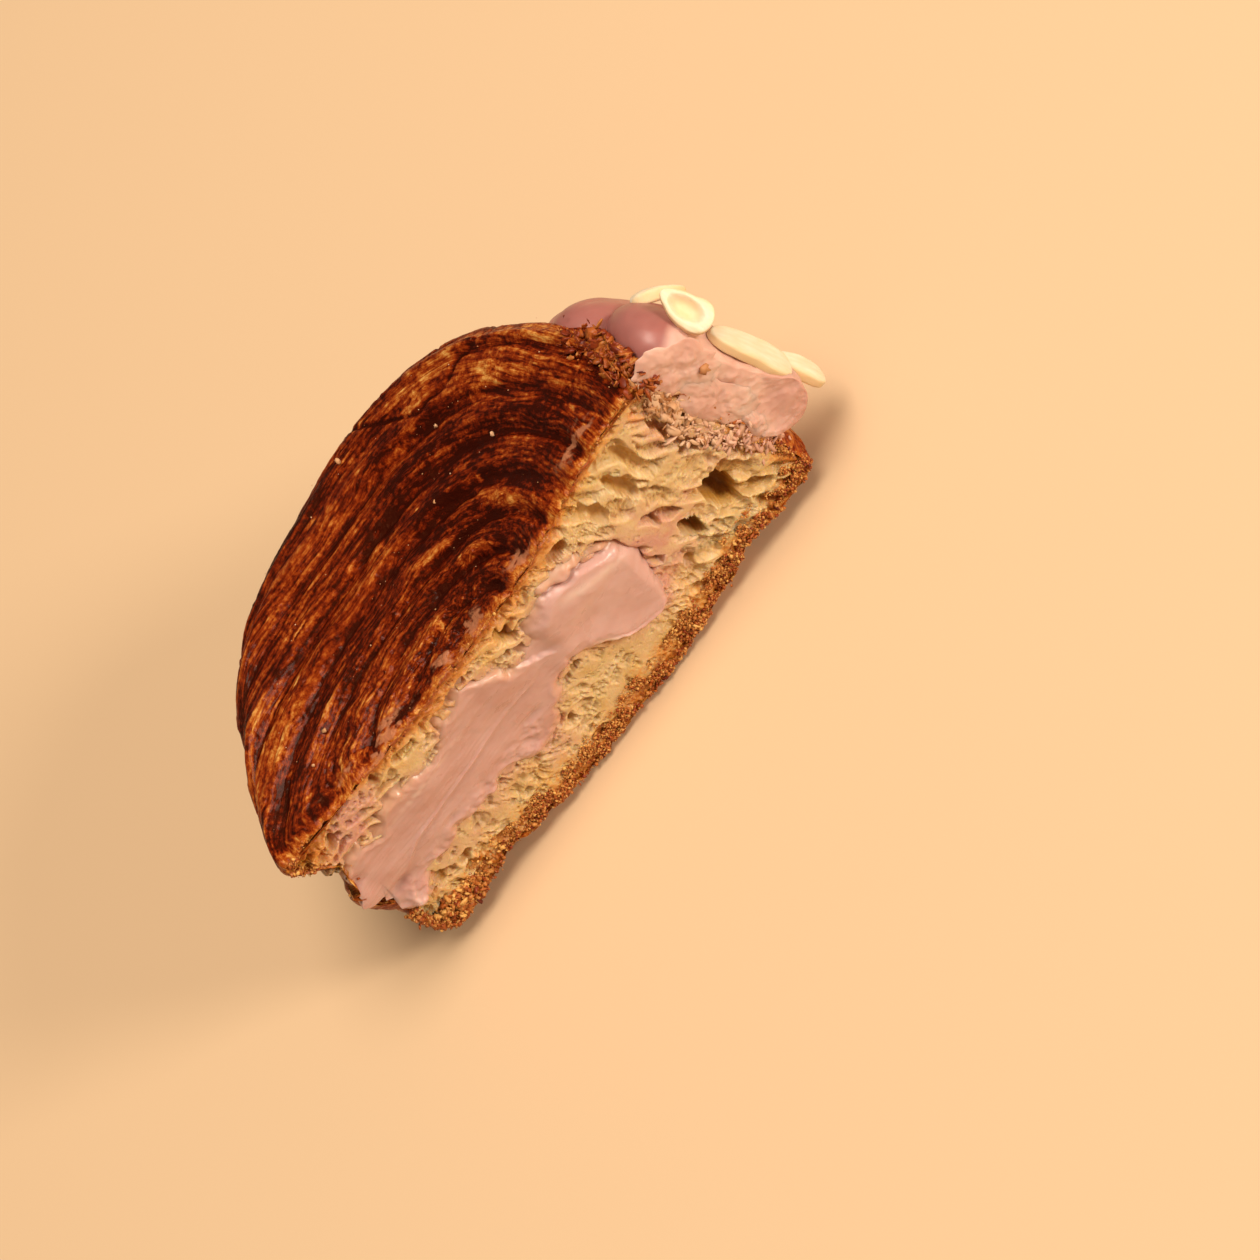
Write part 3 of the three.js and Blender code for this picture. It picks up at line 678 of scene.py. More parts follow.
# The largest open cells on the cut: place, half width, half height and depth.
OPEN_CELLS = (
    (37.4, 16.8, 2.5, 5.3, 8.5),
    (30.2, 17.0, 1.5, 3.7, 6.5),
    (28.6, 25.3, 0.9, 1.9, 4.0),
    (21.2, 30.6, 0.9, 1.7, 4.0),
    (17.0, 38.4, 2.5, 1.7, 4.5),
    (42.6, 33.0, 1.3, 6.5, 3.5),
    (31.2, 35.5, 1.3, 4.6, 3.0),
    (36.0, 38.0, 1.4, 5.0, 2.6),
    (25.5, 36.5, 1.6, 4.0, 2.4),
    (45.5, 21.5, 1.5, 3.0, 3.0),
    (-24.0, 38.5, 2.3, 1.0, 4.5),
    (-30.5, 39.2, 1.2, 1.2, 3.5),
    (1.2, 36.0, 1.5, 2.6, 6.0),
    (0.0, 31.5, 0.9, 1.9, 5.0),
    (-1.9, 33.4, 1.6, 0.9, 4.0),
    (-10.5, 37.6, 4.2, 0.9, 2.6),
    (0.0, 19.4, 2.6, 0.7, 4.5),
    (-8.0, 12.0, 1.0, 0.8, 2.5),
    (24.5, 12.4, 1.6, 1.3, 2.8),
    (-41.5, 13.6, 2.4, 1.5, 3.2),
    (-37.0, 12.0, 1.6, 1.1, 2.4),
)


def open_cells(x, z):
    """Depth of the largest cells in mm: each is half of an ellipsoid with a wandering edge."""
    x = x + 0.5 * noise(x / 1.6, z / 1.8, 311) + 0.22 * noise(x / 0.6, z / 0.6, 312)
    z = z + 0.5 * noise(x / 1.7, z / 1.5, 313) + 0.22 * noise(x / 0.6, z / 0.6, 314)
    depth = np.zeros(x.shape)
    for cx, cz, half_x, half_z, deep in OPEN_CELLS:
        left = 1 - ((x - cx) / half_x) ** 2 - ((z - cz) / half_z) ** 2
        depth = np.maximum(depth, deep * np.clip(left, 0, 1) ** 0.4)
    return depth


def honeycomb(u, v, seed, deep):
    """Bubbles with thin walls: the depth rises steeply from the wall between two cells to a rounded
    floor, and each cell has its own depth."""
    gap, share = cells(u, v, seed)
    return deep * (0.3 + 0.7 * share) * smooth(0.02, 0.46, gap) ** 0.8


def end_mash(x, z):
    """Where the knife mashed the crumb below the ganache, 0 to 1."""
    return smooth(39, 43.5, x + 1.4 * noise(x / 3, z / 3, 398)) * smooth(17, 26, z)


def crumb_depth(x, z):
    """Depth of the crumb behind the cut in mm: bubbles at three sizes in bent coordinates, tall ones
    beside the cream's end, long flat ones above the cream and small ones below it, with torn walls."""
    u = x + 1.5 * noise(x / 5.2, z / 6.1, 321) + 0.55 * noise(x / 1.9, z / 2.3, 322)
    v = z + 1.7 * noise(x / 5.6, z / 5.3, 323) + 0.55 * noise(x / 2.2, z / 1.9, 324)
    right = smooth(17, 24, x)
    above = smooth(24, 30, z) * (1 - right)
    below = 1 - above - right
    tall = honeycomb(u / 4.3 + 0.1 * v, v / 7.5, 331, 2.5) + honeycomb(u / 1.9, v / 3.0, 333, 0.55)
    flat = honeycomb(u / 6.5, v / 2.8, 341, 1.6) + honeycomb(u / 2.6, v / 1.4, 343, 0.6)
    small = honeycomb(u / 3.6, v / 2.8, 351, 1.1) + honeycomb(u / 1.5, v / 1.2, 353, 0.46)
    fine = honeycomb(u / 0.62, v / 0.7, 361, 0.26)
    torn = 0.24 * noise(x / 0.55, z / 0.55, 363) + 0.5 * noise(x / 2.1, z / 2.1, 365)
    broad = 0.9 * rough(x / 8, z / 7, 375, 2) - 1.1 * spot(x, z, 27.5, 20, 2.4, 7)
    broad = broad - 1.0 * spot(x, z, -36.5, 39.8, 3.0, 2.0)
    lumps = np.maximum(0.6 + 0.7 * rough(x / 1.6, z / 1.6, 377, 2), 0)
    broad = broad - 1.5 * lumps * (spot(x, z, -40, 37, 3.2, 2.8) + 0.8 * spot(x, z, -45, 36, 2.5, 3))
    shreds = end_mash(x, z) * (0.9 * rough((x + 0.4 * z) / 0.8, z / 2.6, 379, 3) - 0.5)
    # The torn -x end is more rugged.
    rugged = 1 + 0.9 * (1 - smooth(-42, -26, x))
    depth = right * tall + rugged * (above * flat + below * small) + fine + torn + broad + shreds - 0.6
    return np.maximum(np.maximum(depth, -0.8), open_cells(x, z))


# Spots on the crumb, each a middle (x, z), half sizes and a height: where cream is smeared on it, and
# the pink lump at the -x end.
PINK_SPOTS = (
    (24, 17, 4.5, 6, 1), (-13, 9.5, 4, 2.6, 1), (26, 27, 4, 5, 1), (43, 36, 4, 9, 1.3), (45, 24, 4, 7, 1),
    (-36, 40, 4, 3, 1), (-45, 36, 2.5, 3, 1), (27, 21, 6, 9, 0.6), (-30, 13.5, 12, 2.5, 0.7),
    (34, 22, 5, 2, 0.8),
)  # fmt: skip
LUMP_SPOTS = ((-35.5, 40.0, 4.2, 2.6, 1.5), (-40, 37, 3.4, 2.8, 1.3))


def crumb_tones(x, z, inset, edge_normal, outline, depth):
    """What colours the crumb, each 0 to 1: how deep a place lies, which the material paints as shade,
    how toasted it is by the crust and how much cream is smeared on it."""
    below_face = inset * (1 + 0.35 * noise(x / 3, z / 3, 395))
    to_dark = np.abs(edge_normal[:, 1:2]) * (outline[:, 1:2] > DARK_EDGE)
    to_gold = np.abs(edge_normal[:, 1:2]) * (outline[:, 1:2] < 12)
    to_rim = 1 - np.clip(to_dark + to_gold, 0, 1)
    band = (3.6 + 3.2 * (1 - smooth(-45, -35, x))) * to_dark + 4.4 * to_gold + 2.8 * to_rim
    speckle = (0.14 + 0.2 * to_gold + 0.1 * to_rim) * rough(x / 0.6, z / 0.6, 397, 3)
    share = below_face / band
    toast = (0.72 + 0.14 * to_dark) * np.exp(-(share**1.4)) + speckle * bell(share, 0.6, 0.9)
    toast = toast + 0.10 * np.clip(rough(x / 2.4, z / 2.4, 403, 3), 0, 1)
    strands = 0.5 + 0.5 * rough((x + 0.4 * z) / 0.8, z / 2.6, 399, 3)
    mash = end_mash(x, z) * (0.03 + 0.46 * strands * smooth(20, 44, z))
    toast = np.clip(np.maximum(toast, mash), 0, 1)
    lump = np.clip(spots(x, z, LUMP_SPOTS), 0, 1)
    near_cream = np.exp(-np.clip(-cream_depth(x, z), 0, 9) / 1.6)
    smear = 1.3 * near_cream * (0.5 + 0.5 * rough(x / 2.2, z / 2.2, 401, 3))
    pink = np.clip(spots(x, z, PINK_SPOTS) + 1.4 * lump, 0, 1)
    smear = smear + 0.9 * pink * (0.5 + 0.6 * rough(x / 1.4, z / 1.9, 405, 3)) + 0.5 * lump
    # How deep a place lies, which the material paints as shade in the cells and holes.
    deep = 0.62 * smooth(0.1, 3.4, depth) + 0.38 * smooth(3.2, 6.0, depth)
    return {"depth": deep, "toast": toast * (1 - 0.85 * lump), "smear": np.clip(smear, 0, 1)}


CRUMB_COLUMNS = 1800
CRUMB_ROWS = 100
SLOT_HEIGHT = 25.5  # the slot that the cream hides, and its ends
SLOT_ENDS = (-44, 14)
# Behind its front the ring goes back below these rows of the front, to these depths.
BACK_ROWS = (-1, -1, 30, 10)
BACK_DEPTHS = (9, 13, 13, 6)


def crumb_front(outline, edge_normal):
    """The front of the crumb as a grid of points, with its tones. Rows run from the outline to a line
    along the cream's middle."""
    slot_x = np.clip(outline[:, 0], *SLOT_ENDS) + 0.05 * outline[:, 0]
    slot = np.stack([slot_x, np.full(len(outline), SLOT_HEIGHT)], -1)
    share = 0.8 * np.linspace(0, 1, CRUMB_ROWS) ** 0.96
    plan = outline[:, None] + (slot - outline)[:, None] * share[None, :, None]
    x, z = plan[..., 0], plan[..., 1]
    inset = np.linalg.norm(plan - outline[:, None], axis=-1)
    depth = crumb_depth(x, z)
    # At its edge the crumb is crushed into grains against the crust, and it falls away under the cream.
    to_gold = (outline[:, 1:2] < 14) + 0.35 * (outline[:, 1:2] >= 14)
    to_dark = outline[:, 1:2] > DARK_EDGE
    edge = smooth(0, 1.2 + 2.4 * to_gold, inset)
    grains = 0.45 * rough(x / 0.55, z / 0.55, 391, 2) + 0.25 * noise(x / 1.7, z / 1.7, 392)
    depth = mix(0.2 * depth + grains * (0.4 + 0.6 * to_gold) + 0.1 - 0.42 * to_dark, depth, edge)
    depth = depth + 3.5 * smooth(1.0, 4.5, cream_depth(x, z))
    return np.stack([x, depth, z], -1), crumb_tones(x, z, inset, edge_normal, outline, depth)


def section_cap(part, ring):
    """Triangles over one end of a length of crumb. The end is flat: it lies in the plane of y and of its
    own way in from the outline."""
    section = part[ring] - part[ring].mean(0)
    inward = section[CRUMB_ROWS - 1] * (1, 0, 1)
    inward = inward / np.linalg.norm(inward)
    return cap_triangles(np.stack([section @ inward, section[:, 1], 0 * section[:, 1]], -1), ring)


def crumb_pieces(material):
    """The crumb on the cut as a closed ring, in lengths: from the crust's skin in to a slot that the
    cream hides, then back behind the cut."""
    outline = cut_outline(CRUMB_COLUMNS)
    lead = np.roll(outline, -1, axis=0) - np.roll(outline, 1, axis=0)
    lead = lead / np.linalg.norm(lead, axis=1, keepdims=True)
    edge_normal = np.stack([lead[:, 1], -lead[:, 0]], -1)
    if ((outline - CUT_MIDDLE) * edge_normal).sum() < 0:
        edge_normal = -edge_normal
    outline = outline - np.where(outline[:, 1:] > DARK_EDGE, -0.14, 0.22) * edge_normal
    front, tones = crumb_front(outline, edge_normal)
    behind = front[:, BACK_ROWS].copy()
    behind[..., 1] = BACK_DEPTHS
    points = np.concatenate([front, behind], 1)
    tones = {key: np.pad(value, ((0, 0), (0, len(BACK_ROWS))), mode="edge") for key, value in tones.items()}
    around = points.shape[1]
    for name, first, last in CRUMB_LENGTHS:
        span = np.arange(int(first * CRUMB_COLUMNS), int(last * CRUMB_COLUMNS) + 1) % CRUMB_COLUMNS
        part = points[span].reshape(-1, 3)
        ring = np.arange(around)
        caps = section_cap(part, ring), section_cap(part, ring + len(part) - around)[:, ::-1]
        sides = grid_triangles(len(span), around, round_rows=True)
        triangles = outward(part, np.concatenate([sides, *caps]))
        values = {key: value[span].ravel() for key, value in tones.items()}
        make_piece(name, part, triangles, values, material, "crust", "pastry")


# ---- The cream ----

# Where the cream stands out or sinks in, each a middle (x, z), half sizes and a height.
CREAM_LOBES = (
    (-46, 16, 2.4, 2.4, 1.9), (-50, 25, 2.5, 2.5, 0.8),
    (-45.5, 20.5, 3, 1.2, -1.2), (-48, 29.5, 2, 1.4, -0.8),
)  # fmt: skip
CREAM_DIMPLES = ((-9.3, 20.3, 1.7, 0.9, -0.5), (-31, 21, 1.6, 1, -0.4), (0.2, 20.2, 2.6, 1.1, -1.1))
# Small spots of painted highlight on the cream.
PAINTED_HIGHLIGHT_SPOTS = ((-46.3, 16.4, 1.4, 1.2, 0.5), (-26, 31, 8, 0.6, 0.5))


def cream_front(x, z):
    """How far the cream stands out in front of the cut in mm: a knife-drawn slab with a fuller plateau at
    its +x end, a fold along the plateau's upper side, a lip along its lower side, a thin drawn ridge,
    and lumps where it broke."""
    body = 0.45 + 0.3 * np.sin(0.2 * x + 1) * smooth(-46, -30, x) + 0.32 * noise(x / 7, z / 6, 411)
    body = body + 0.13 * rough(x / 3.4, z / 2.6, 415, 3)
    inside = cream_depth(x, z)
    plateau = 1.2 * smooth(-1.5, 5.5, x - 0.35 * (z - 26)) * smooth(0.2, 2.6, inside)
    plateau = plateau - 2.8 * smooth(20, 25, x + 0.22 * (24 - z)) - 0.5 * spot(x, z, 11, 23, 5, 4)
    plateau = plateau + 0.35 * spot(x, z, 15, 29, 6, 2) * smooth(0.5, 3, inside)
    groove_x = 22.0 + 0.38 * (z - 19.7)
    plateau = plateau - 0.9 * bell(x, groove_x, 0.6) * smooth(12, 15, z) * (1 - smooth(23, 26, z))
    crease_z = 36.4 - 0.50 * (x - 9) + 0.4 * noise(x / 2.3, 0 * x, 413)
    fold = 0.9 * bell(z, crease_z + 1.8, 1.1) - 1.2 * bell(z, crease_z, 0.55)
    fold = fold * smooth(7, 11, x) * (1 - smooth(19, 23, x))
    lip = 0.5 * bell(x - 6.1, 0.72 * (19.6 - z), 0.8) * smooth(11.5, 13.5, z)
    lip = lip * (1 - smooth(18.5, 21, z))
    lip = lip + 0.7 * bell(inside, 1.1, 0.6) * smooth(7, 10, x) * (1 - smooth(17, 20, x)) * (z < 22)
    neck = smooth(-0.8, 0.3, x + 3 + 1.1 * (z - 31) + 0.5 * noise(x / 1.2, z / 1.2, 417))
    lip = lip - 0.75 * neck * (1 - smooth(1, 6, x)) * smooth(25.5, 27.5, z)
    drag_line = 25.2 - 0.3 * np.sin(0.16 * x) - 3.4 * bell(x, -43, 4.5)
    length = smooth(-43, -38, x) * (1 - smooth(-7, -3, x))
    ridge = (0.26 * bell(z, drag_line, 0.28) - 0.14 * bell(z, drag_line - 0.8, 0.5)) * length
    drawn = 0.07 * rough(x / 14, z / 0.8 + 0.06 * x, 425, 3) + 0.035 * rough(x / 9, z / 0.35, 426, 2)
    drawn = drawn * (1 - smooth(-4, 4, x)) + 0.05 * rough(x / 2.2, z / 1.8, 428, 2)
    broken = smooth(22, 17.5, z + 1.2 * noise(x / 3, 0 * z, 427)) * (1 - smooth(-12, -7, x))
    lumps = 0.55 * broken * rough(x / 2.4, z / 2.1, 431, 3) + 0.25 * broken * noise(x / 0.9, z / 0.8, 433)
    lobes = spots(x, z, CREAM_LOBES)
    dimples = spots(x, z, CREAM_DIMPLES)
    return body + plateau + fold + lip + ridge + drawn + lumps + lobes + dimples


def cream_height(x, z):
    """The cream's front: its full height well inside the outline, falling away over a wide soft margin
    to a depth behind the cut, where the crumb's walls stand through it."""
    inside = cream_depth(x, z)
    full = smooth(-3.2, 1.2, inside + 0.35 * noise(x / 1.3, z / 1.3, 443))
    rim = 0.22 * bell(inside, 1.2, 0.7) * (0.5 + 0.5 * noise(x / 2.5, z / 2.5, 445))
    return mix(-CREAM_EDGE_DEPTH, cream_front(x, z), full**0.8) + rim


def painted_cream_highlight(x, z):
    """Painted highlight on the cream, 0 to 1, where its colour is made paler: along the plateau's lower
    lip and upper side, on the ledge by the neck, and in small spots."""
    broken = np.clip(0.6 + 0.7 * noise(x / 0.8, z / 0.8, 447), 0, 1)
    lip = bell(x - 6.6 - 0.646 * (20.1 - z), 0, 0.55) * smooth(11.4, 12.6, z) * (1 - smooth(19.4, 20.8, z))
    side = 0.45 * bell(z, 33.2 - 0.5 * (x - 9), 1.1) * smooth(9, 13, x) * (1 - smooth(19, 23, x))
    ledge = 0.6 * bell(x + 3.8 + 1.1 * (z - 31), 0, 0.5) * smooth(28, 30, z) * (1 - smooth(34, 36, z))
    return np.clip((lip + ledge + spots(x, z, PAINTED_HIGHLIGHT_SPOTS)) * broken + side, 0, 1)


def cream_piece(material):
    """The cream as a closed body: from the cut's middle line out to its margin, round the margin and
    back to a line behind the cut."""
    count, rows, back_rows = 1060, 78, 10
    margin = cream_loop(count)
    seam = np.stack([np.clip(margin[:, 0], *SEAM_ENDS), np.full(count, SEAM_HEIGHT)], -1)
    share = 1 - (1 - np.linspace(0, 1, rows)) ** 1.15
    plan = seam[:, None] + (margin - seam)[:, None] * share[None, :, None]
    x, z = plan[..., 0], plan[..., 1]
    front = np.stack([x, -cream_height(x, z), z], -1)
    turn = np.linspace(0, 1, back_rows + 1)[1:]
    back_plan = margin[:, None] + (seam - margin)[:, None] * (turn**1.6)[None, :, None]
    back_y = front[:, -1:, 1] + CREAM_BACK_DEPTH * np.sin(turn * np.pi / 2)
    back = np.stack([back_plan[..., 0], back_y, back_plan[..., 1]], -1)
    points = np.concatenate([front, back], 1)
    inside = cream_depth(x, z)
    thin = np.pad(1 - smooth(-0.6, 1.8, inside), ((0, 0), (0, back_rows)), constant_values=1)
    x, z = points[..., 0], points[..., 2]
    stain = 0.4 + 0.5 * rough(x / 5, z / 2.5, 441, 4) + 0.45 * smooth(-4, 6, x)
    # The cream's tones, with its painted highlight.
    values = {"thin": thin.ravel(), "stain": stain.ravel(), "painted_highlight": painted_cream_highlight(x, z).ravel()}
    triangles = grid_triangles(count, rows + back_rows, round_columns=True)
    return sewn_piece("cream", points, triangles, values, material, "cream", "cream_filling")


# ---- The ganache ----

STROKE_CENTRE = 54.0
STROKE_HALF_DEPTH = 5.8
STROKE_END_RADIUS = 7.4
# Each stroke of ganache down the rim: its angle about the axis at its lower and upper end, where its
# round ends start, how far its top leans in over the shoulder, and its half width.
STROKES = ((3, 9, 20, 40.5, 1.2, 9), (23, 24, 15, 39.5, 4.4, 7.4), (37, 37, 14, 30, 8, 7.4))


def stroke_points(number, start, end, low, high, lean, half_width, stations=130, around=110):
    """A stroke as loops across it. A loop is an ellipse that is drawn in at the waist, rounded off
    past both ends, swollen by soft lumps, and cut flat by the knife where it would cross the cut. Also
    gives where the knife smeared it pale, 0 to 1."""
    t = stations_along(stations)
    length = (high - low) / 2 + STROKE_END_RADIUS
    z = (low + high) / 2 + t * length
    turn = np.radians(start + (end - start) * smooth(10, 46, z))
    beyond = np.maximum(0, np.abs(t) * length - (high - low) / 2) / STROKE_END_RADIUS
    ends = np.sqrt(np.clip(1 - beyond**2, 0, 1))
    waist = 1 - 0.14 * bell(t, 0.05, 0.4) + 0.04 * np.sin(5 * t + number)
    b = angles_round(around)
    lumps = 1 + 0.05 * rough(3 * np.cos(b) + 7 * number, z / 7 + 0 * b, 501, 2)
    lumps = lumps + 0.05 * noise(1.6 * np.sin(b) + 3 * number, z / 5 + 0 * b, 505)
    across = half_width * waist * ends * np.cos(b) * lumps
    out = STROKE_CENTRE - lean * smooth(24, 48, z) + STROKE_HALF_DEPTH * waist * ends * np.sin(b) * lumps
    x = out * np.cos(turn) - across * np.sin(turn)
    y = out * np.sin(turn) + across * np.cos(turn)
    z = z + 0.6 * noise(b * 0 + across / 4, z / 6, 507) * ends
    cut = np.clip(-y, 0, 1.2) / 1.2
    smeared = 0.45 * rough(x / 2.8, z / 2.2, 511, 4) + 0.2 * rough(x / 0.9, z / 0.8, 515, 3)
    over_rim = 0.75 * bell(x, 49.4, 2.4)
    y = np.where(y < 0, 0.02 * y + (smeared - over_rim) * cut, y)
    # The knife smeared the skin pale next to the cut, all but the lowest end.
    pale = 1 - smooth(3.6, 6.0, y + 1.3 * noise(x / 3, z / 3, 517) + 0.55 * np.maximum(z - 41, 0))
    low_end = z - 17.9 - 1.38 * (x - 51.5) + 1.2 * noise(x / 2, z / 2, 519)
    pale = pale * mix(0.72, 1, smooth(-1.2, 1.2, low_end)) * (number == 0)
    x = x + 0.35 * pale * rough(y / 1.6, z / 1.9, 518, 3)
    return np.stack([x, y, z + 0 * b], -1), pale + 0 * z


# Smears of ganache dragged over the cut: middle (x, z), half sizes along and across, and lean.
SMEARS = ((52.6, 42.0, 8.0, 4.6, -20), (50.8, 31.0, 9.0, 3.9, -8), (50.2, 20.5, 4.2, 1.7, 14))


def smear_points(number, middle_x, middle_z, half_long, half_wide, lean, rings=60, around=90):
    """A thin lens of ganache on the cut: rings from its middle out to a ragged margin and back behind,
    as thick as the root of what is left to the margin, with torn lumps on its front."""
    ring = np.linspace(0, 1, rings)[:, None]
    b = angles_round(around)
    ragged = 1 + 0.16 * noise(2.2 * np.cos(b) + 9 * number, 2.2 * np.sin(b), 521)
    ragged = ragged + 0.10 * noise(6 * np.cos(b), 6 * np.sin(b) + 5 * number, 523)
    reach = np.sin(np.pi * ring) * ragged
    a = np.radians(lean)
    across, along = half_wide * reach * np.cos(b), half_long * reach * np.sin(b)
    x = middle_x + across * np.cos(a) + along * np.sin(a)
    z = middle_z - across * np.sin(a) + along * np.cos(a)
    front = np.where(ring < 0.5, 1.0, -0.6)
    left = np.sqrt(np.clip(1 - np.sin(np.pi * ring) ** 2, 0, 1))
    lumps = 1 + 0.6 * rough(x / 2.2, z / 2.0, 525, 3) + 0.2 * noise(x / 0.7, z / 0.7, 529)
    y = -0.05 - 0.75 * front * left**1.2 * lumps
    return np.stack([x, y, z], -1)


def ganache_piece(material):
    """All strokes and smears as one mesh of closed bodies."""
    bodies = [stroke_points(number, *measures) for number, measures in enumerate(STROKES)]
    for number, measures in enumerate(SMEARS):
        smear = smear_points(number, *measures)
        bodies.append((smear, np.ones(smear.shape[:2])))
    triangles, start = [], 0
    for points, _ in bodies:
        grid = grid_triangles(*points.shape[:2], round_rows=True)
        triangles.append(outward(points.reshape(-1, 3), grid) + start)
        start += points.shape[0] * points.shape[1]
    points = np.concatenate([points.reshape(-1, 3) for points, _ in bodies])
    values = {"cut": np.concatenate([cut.ravel() for _, cut in bodies])}
    triangles = np.concatenate(triangles)
    return sewn_piece("ganache", points, triangles, values, material, "ganache", "ganache_strokes")


# ---- The almonds ----

ALMOND_THICKNESS = 2.2
# Name, middle, which way the length runs, which way the face looks, length, width and curl.
ALMONDS = (
    ("almond_long_cut_side", (59.5, 3.1, 28.2), (-0.04, 0, 1), (0.95, -0.3, 0), 19, 5.6, 0.4),
    ("almond_low_cut_side", (59.6, 6.4, 14), (-0.1, 0.12, 1), (0.92, -0.2, 0.1), 12, 4.6, 0.5),
    ("almond_curled", (60, 4.8, 43.4), (-0.05, 0.74, 0.67), (0.4, -0.6, 0.68), 9.4, 5.3, -0.8),
    ("almond_upper_rim", (57.9, 14.2, 41), (0.62, 0, -0.78), (0.76, 0.58, 0.27), 9.5, 4.6, 0.6),
    ("almond_middle", (52.5, 26.7, 22), (-0.15, 0.3, 0.94), (0.89, 0.45, 0), 14, 5.6, 0.9),
    ("almond_upright", (48.1, 32.4, 24), (-0.1, -0.16, 0.98), (0.83, 0.56, 0), 14, 5.4, 0.8),
    ("almond_low_middle", (51.3, 28.4, 11.5), (-0.42, 0.76, 0.5), (0.87, 0.48, 0), 13, 5.4, 0.9),
    ("almond_far_side", (42.9, 40, 20), (0.14, -0.15, 0.98), (0.73, 0.68, 0), 14, 5.8, 1.0),
)


def almond_piece(number, name, middle, along, facing, length, width, curl, material):
    """A sliver as loops across it: a flat oval with squared sides, narrower towards one end, curled
    towards one side, with knife marks, a slight twist and, where its ends curl outwards, a dip in its
    face with a raised rim. The ends of the first one are the bluntest."""
    stations, around = 64, 56
    t = stations_along(stations)
    blunt = 4.5 if number == 0 else 2.6
    taper = np.sqrt(np.clip(1 - np.abs(t) ** blunt, 0, 1)) * (1 - (0.35 if curl < 0 else 0.15) * t)
    b = angles_round(around)
    uneven = 1 + 0.06 * noise(3 * t + 5 * number, 1.5 * np.cos(b), 601)
    lengthwise = length / 2 * t + 0 * b
    across = width / 2 * taper * boxy(np.cos(b), 0.55) * uneven
    thick = ALMOND_THICKNESS / 2 * taper**0.5 * boxy(np.sin(b), 0.4) * (1 + 0.1 * np.sin(2 * t + number))
    marks = 0.06 * noise(lengthwise / 3, across / 0.55, 605 + number) * taper**0.3 * np.sign(np.sin(b))
    spread = (2 * lengthwise / length) ** 2 + (2 * across / width) ** 2
    dip = 1.5 * (curl < 0) * (1 - smooth(0.05, 0.55, spread)) * np.clip(np.sin(b), 0, 1)
    out = thick + marks - dip - curl * t * t + 0.06 * across * t
    run = Vector(along).normalized()
    side_way = Vector(facing).cross(run).normalized()
    pose = np.array([run, side_way, run.cross(side_way)])
    local = np.stack([lengthwise, across, out], -1).reshape(-1, 3)
    values = {"side": np.maximum(np.abs(np.cos(b)) ** 3, 0.6 * dip).ravel(), "grain": local}
    triangles = grid_triangles(stations, around, round_rows=True)
    return sewn_piece(name + "_sliver", local @ pose + middle, triangles, values, material, "almond", name)


# ---- Crumbs and flakes ----


def ball():
    """The twelve corners and twenty triangles of an icosahedron."""
    g = (1 + 5**0.5) / 2
    corners = [(-1, g, 0), (1, g, 0), (-1, -g, 0), (1, -g, 0), (0, -1, g), (0, 1, g)]
    corners += [(0, -1, -g), (0, 1, -g), (g, 0, -1), (g, 0, 1), (-g, 0, -1), (-g, 0, 1)]
    sides = "0 11 5 0 5 1 0 1 7 0 7 10 0 10 11 1 5 9 5 11 4 11 10 2 10 7 6 7 1 8 "
    sides += "3 9 4 3 4 2 3 2 6 3 6 8 3 8 9 4 9 5 2 4 11 6 2 10 8 6 7 9 8 1"
    return np.array(corners) / math.hypot(1, g), np.array(sides.split(), int).reshape(-1, 3)


def finer_ball():
    """The icosahedron with each triangle split in four, on the unit ball."""
    corners, sides = ball()
    a, b, c = corners[sides[:, 0]], corners[sides[:, 1]], corners[sides[:, 2]]
    ab, bc, ca = a + b, b + c, c + a
    quarters = np.stack([a, ab, ca, ab, b, bc, ca, bc, c, ab, bc, ca], 1).reshape(-1, 3)
    points = quarters / np.linalg.norm(quarters, axis=1, keepdims=True)
    _, keep, where = np.unique(np.round(points, 5), axis=0, return_index=True, return_inverse=True)
    return points[keep], where.ravel().reshape(-1, 3)


def turns_for(rng, count):
    """Random rotations, from four normal draws each made into a unit quaternion."""
    draws = rng.normal(size=(4, count))
    w, x, y, z = draws / np.linalg.norm(draws, axis=0)
    return np.array([
        [1 - 2 * (y * y + z * z), 2 * (x * y - w * z), 2 * (x * z + w * y)],
        [2 * (x * y + w * z), 1 - 2 * (x * x + z * z), 2 * (y * z - w * x)],
        [2 * (x * z - w * y), 2 * (y * z + w * x), 1 - 2 * (x * x + y * y)],
    ]).transpose(2, 0, 1)  # fmt: skip


def turns_about_y(angle):
    """Rotations about y by each angle, which keep a bit flat against the cut."""
    c, s, none = np.cos(angle), np.sin(angle), 0 * angle
    return np.stack([c, none, s, none, none + 1, none, -s, none, c], -1).reshape(-1, 3, 3)


def bits(name, places, sizes, turns, shape, material, seed, jitter, tone):
    """Many small bits as one mesh: a ball with each corner moved in or out at random, stretched to its
    own sizes, turned and put in its place. Each has its own tone."""
    corners, sides = shape
    rng = np.random.default_rng(seed)
    count = len(places)
    uneven = 1 + jitter * rng.uniform(-1, 1, (count, len(corners), 1))
    local = corners[None] * uneven * sizes[:, None]
    points = np.einsum("nij,nkj->nki", turns, local) + places[:, None]
    triangles = (sides[None] + len(corners) * np.arange(count)[:, None, None]).reshape(-1, 3)
    tones = {"tone": np.repeat(tone, len(corners))}
    return make_piece(name, points.reshape(-1, 3), triangles, tones, material, "crust")


GRAIN_PLACES = 1060  # along the outline of the cut, from which the grains' places are drawn
# The golden edge's grains in two pieces: name, seed, how many, and how large.
GRAINS = (("golden_grains", 8, 8000, 1.0), ("golden_grains_fine", 9, 9000, 0.6))


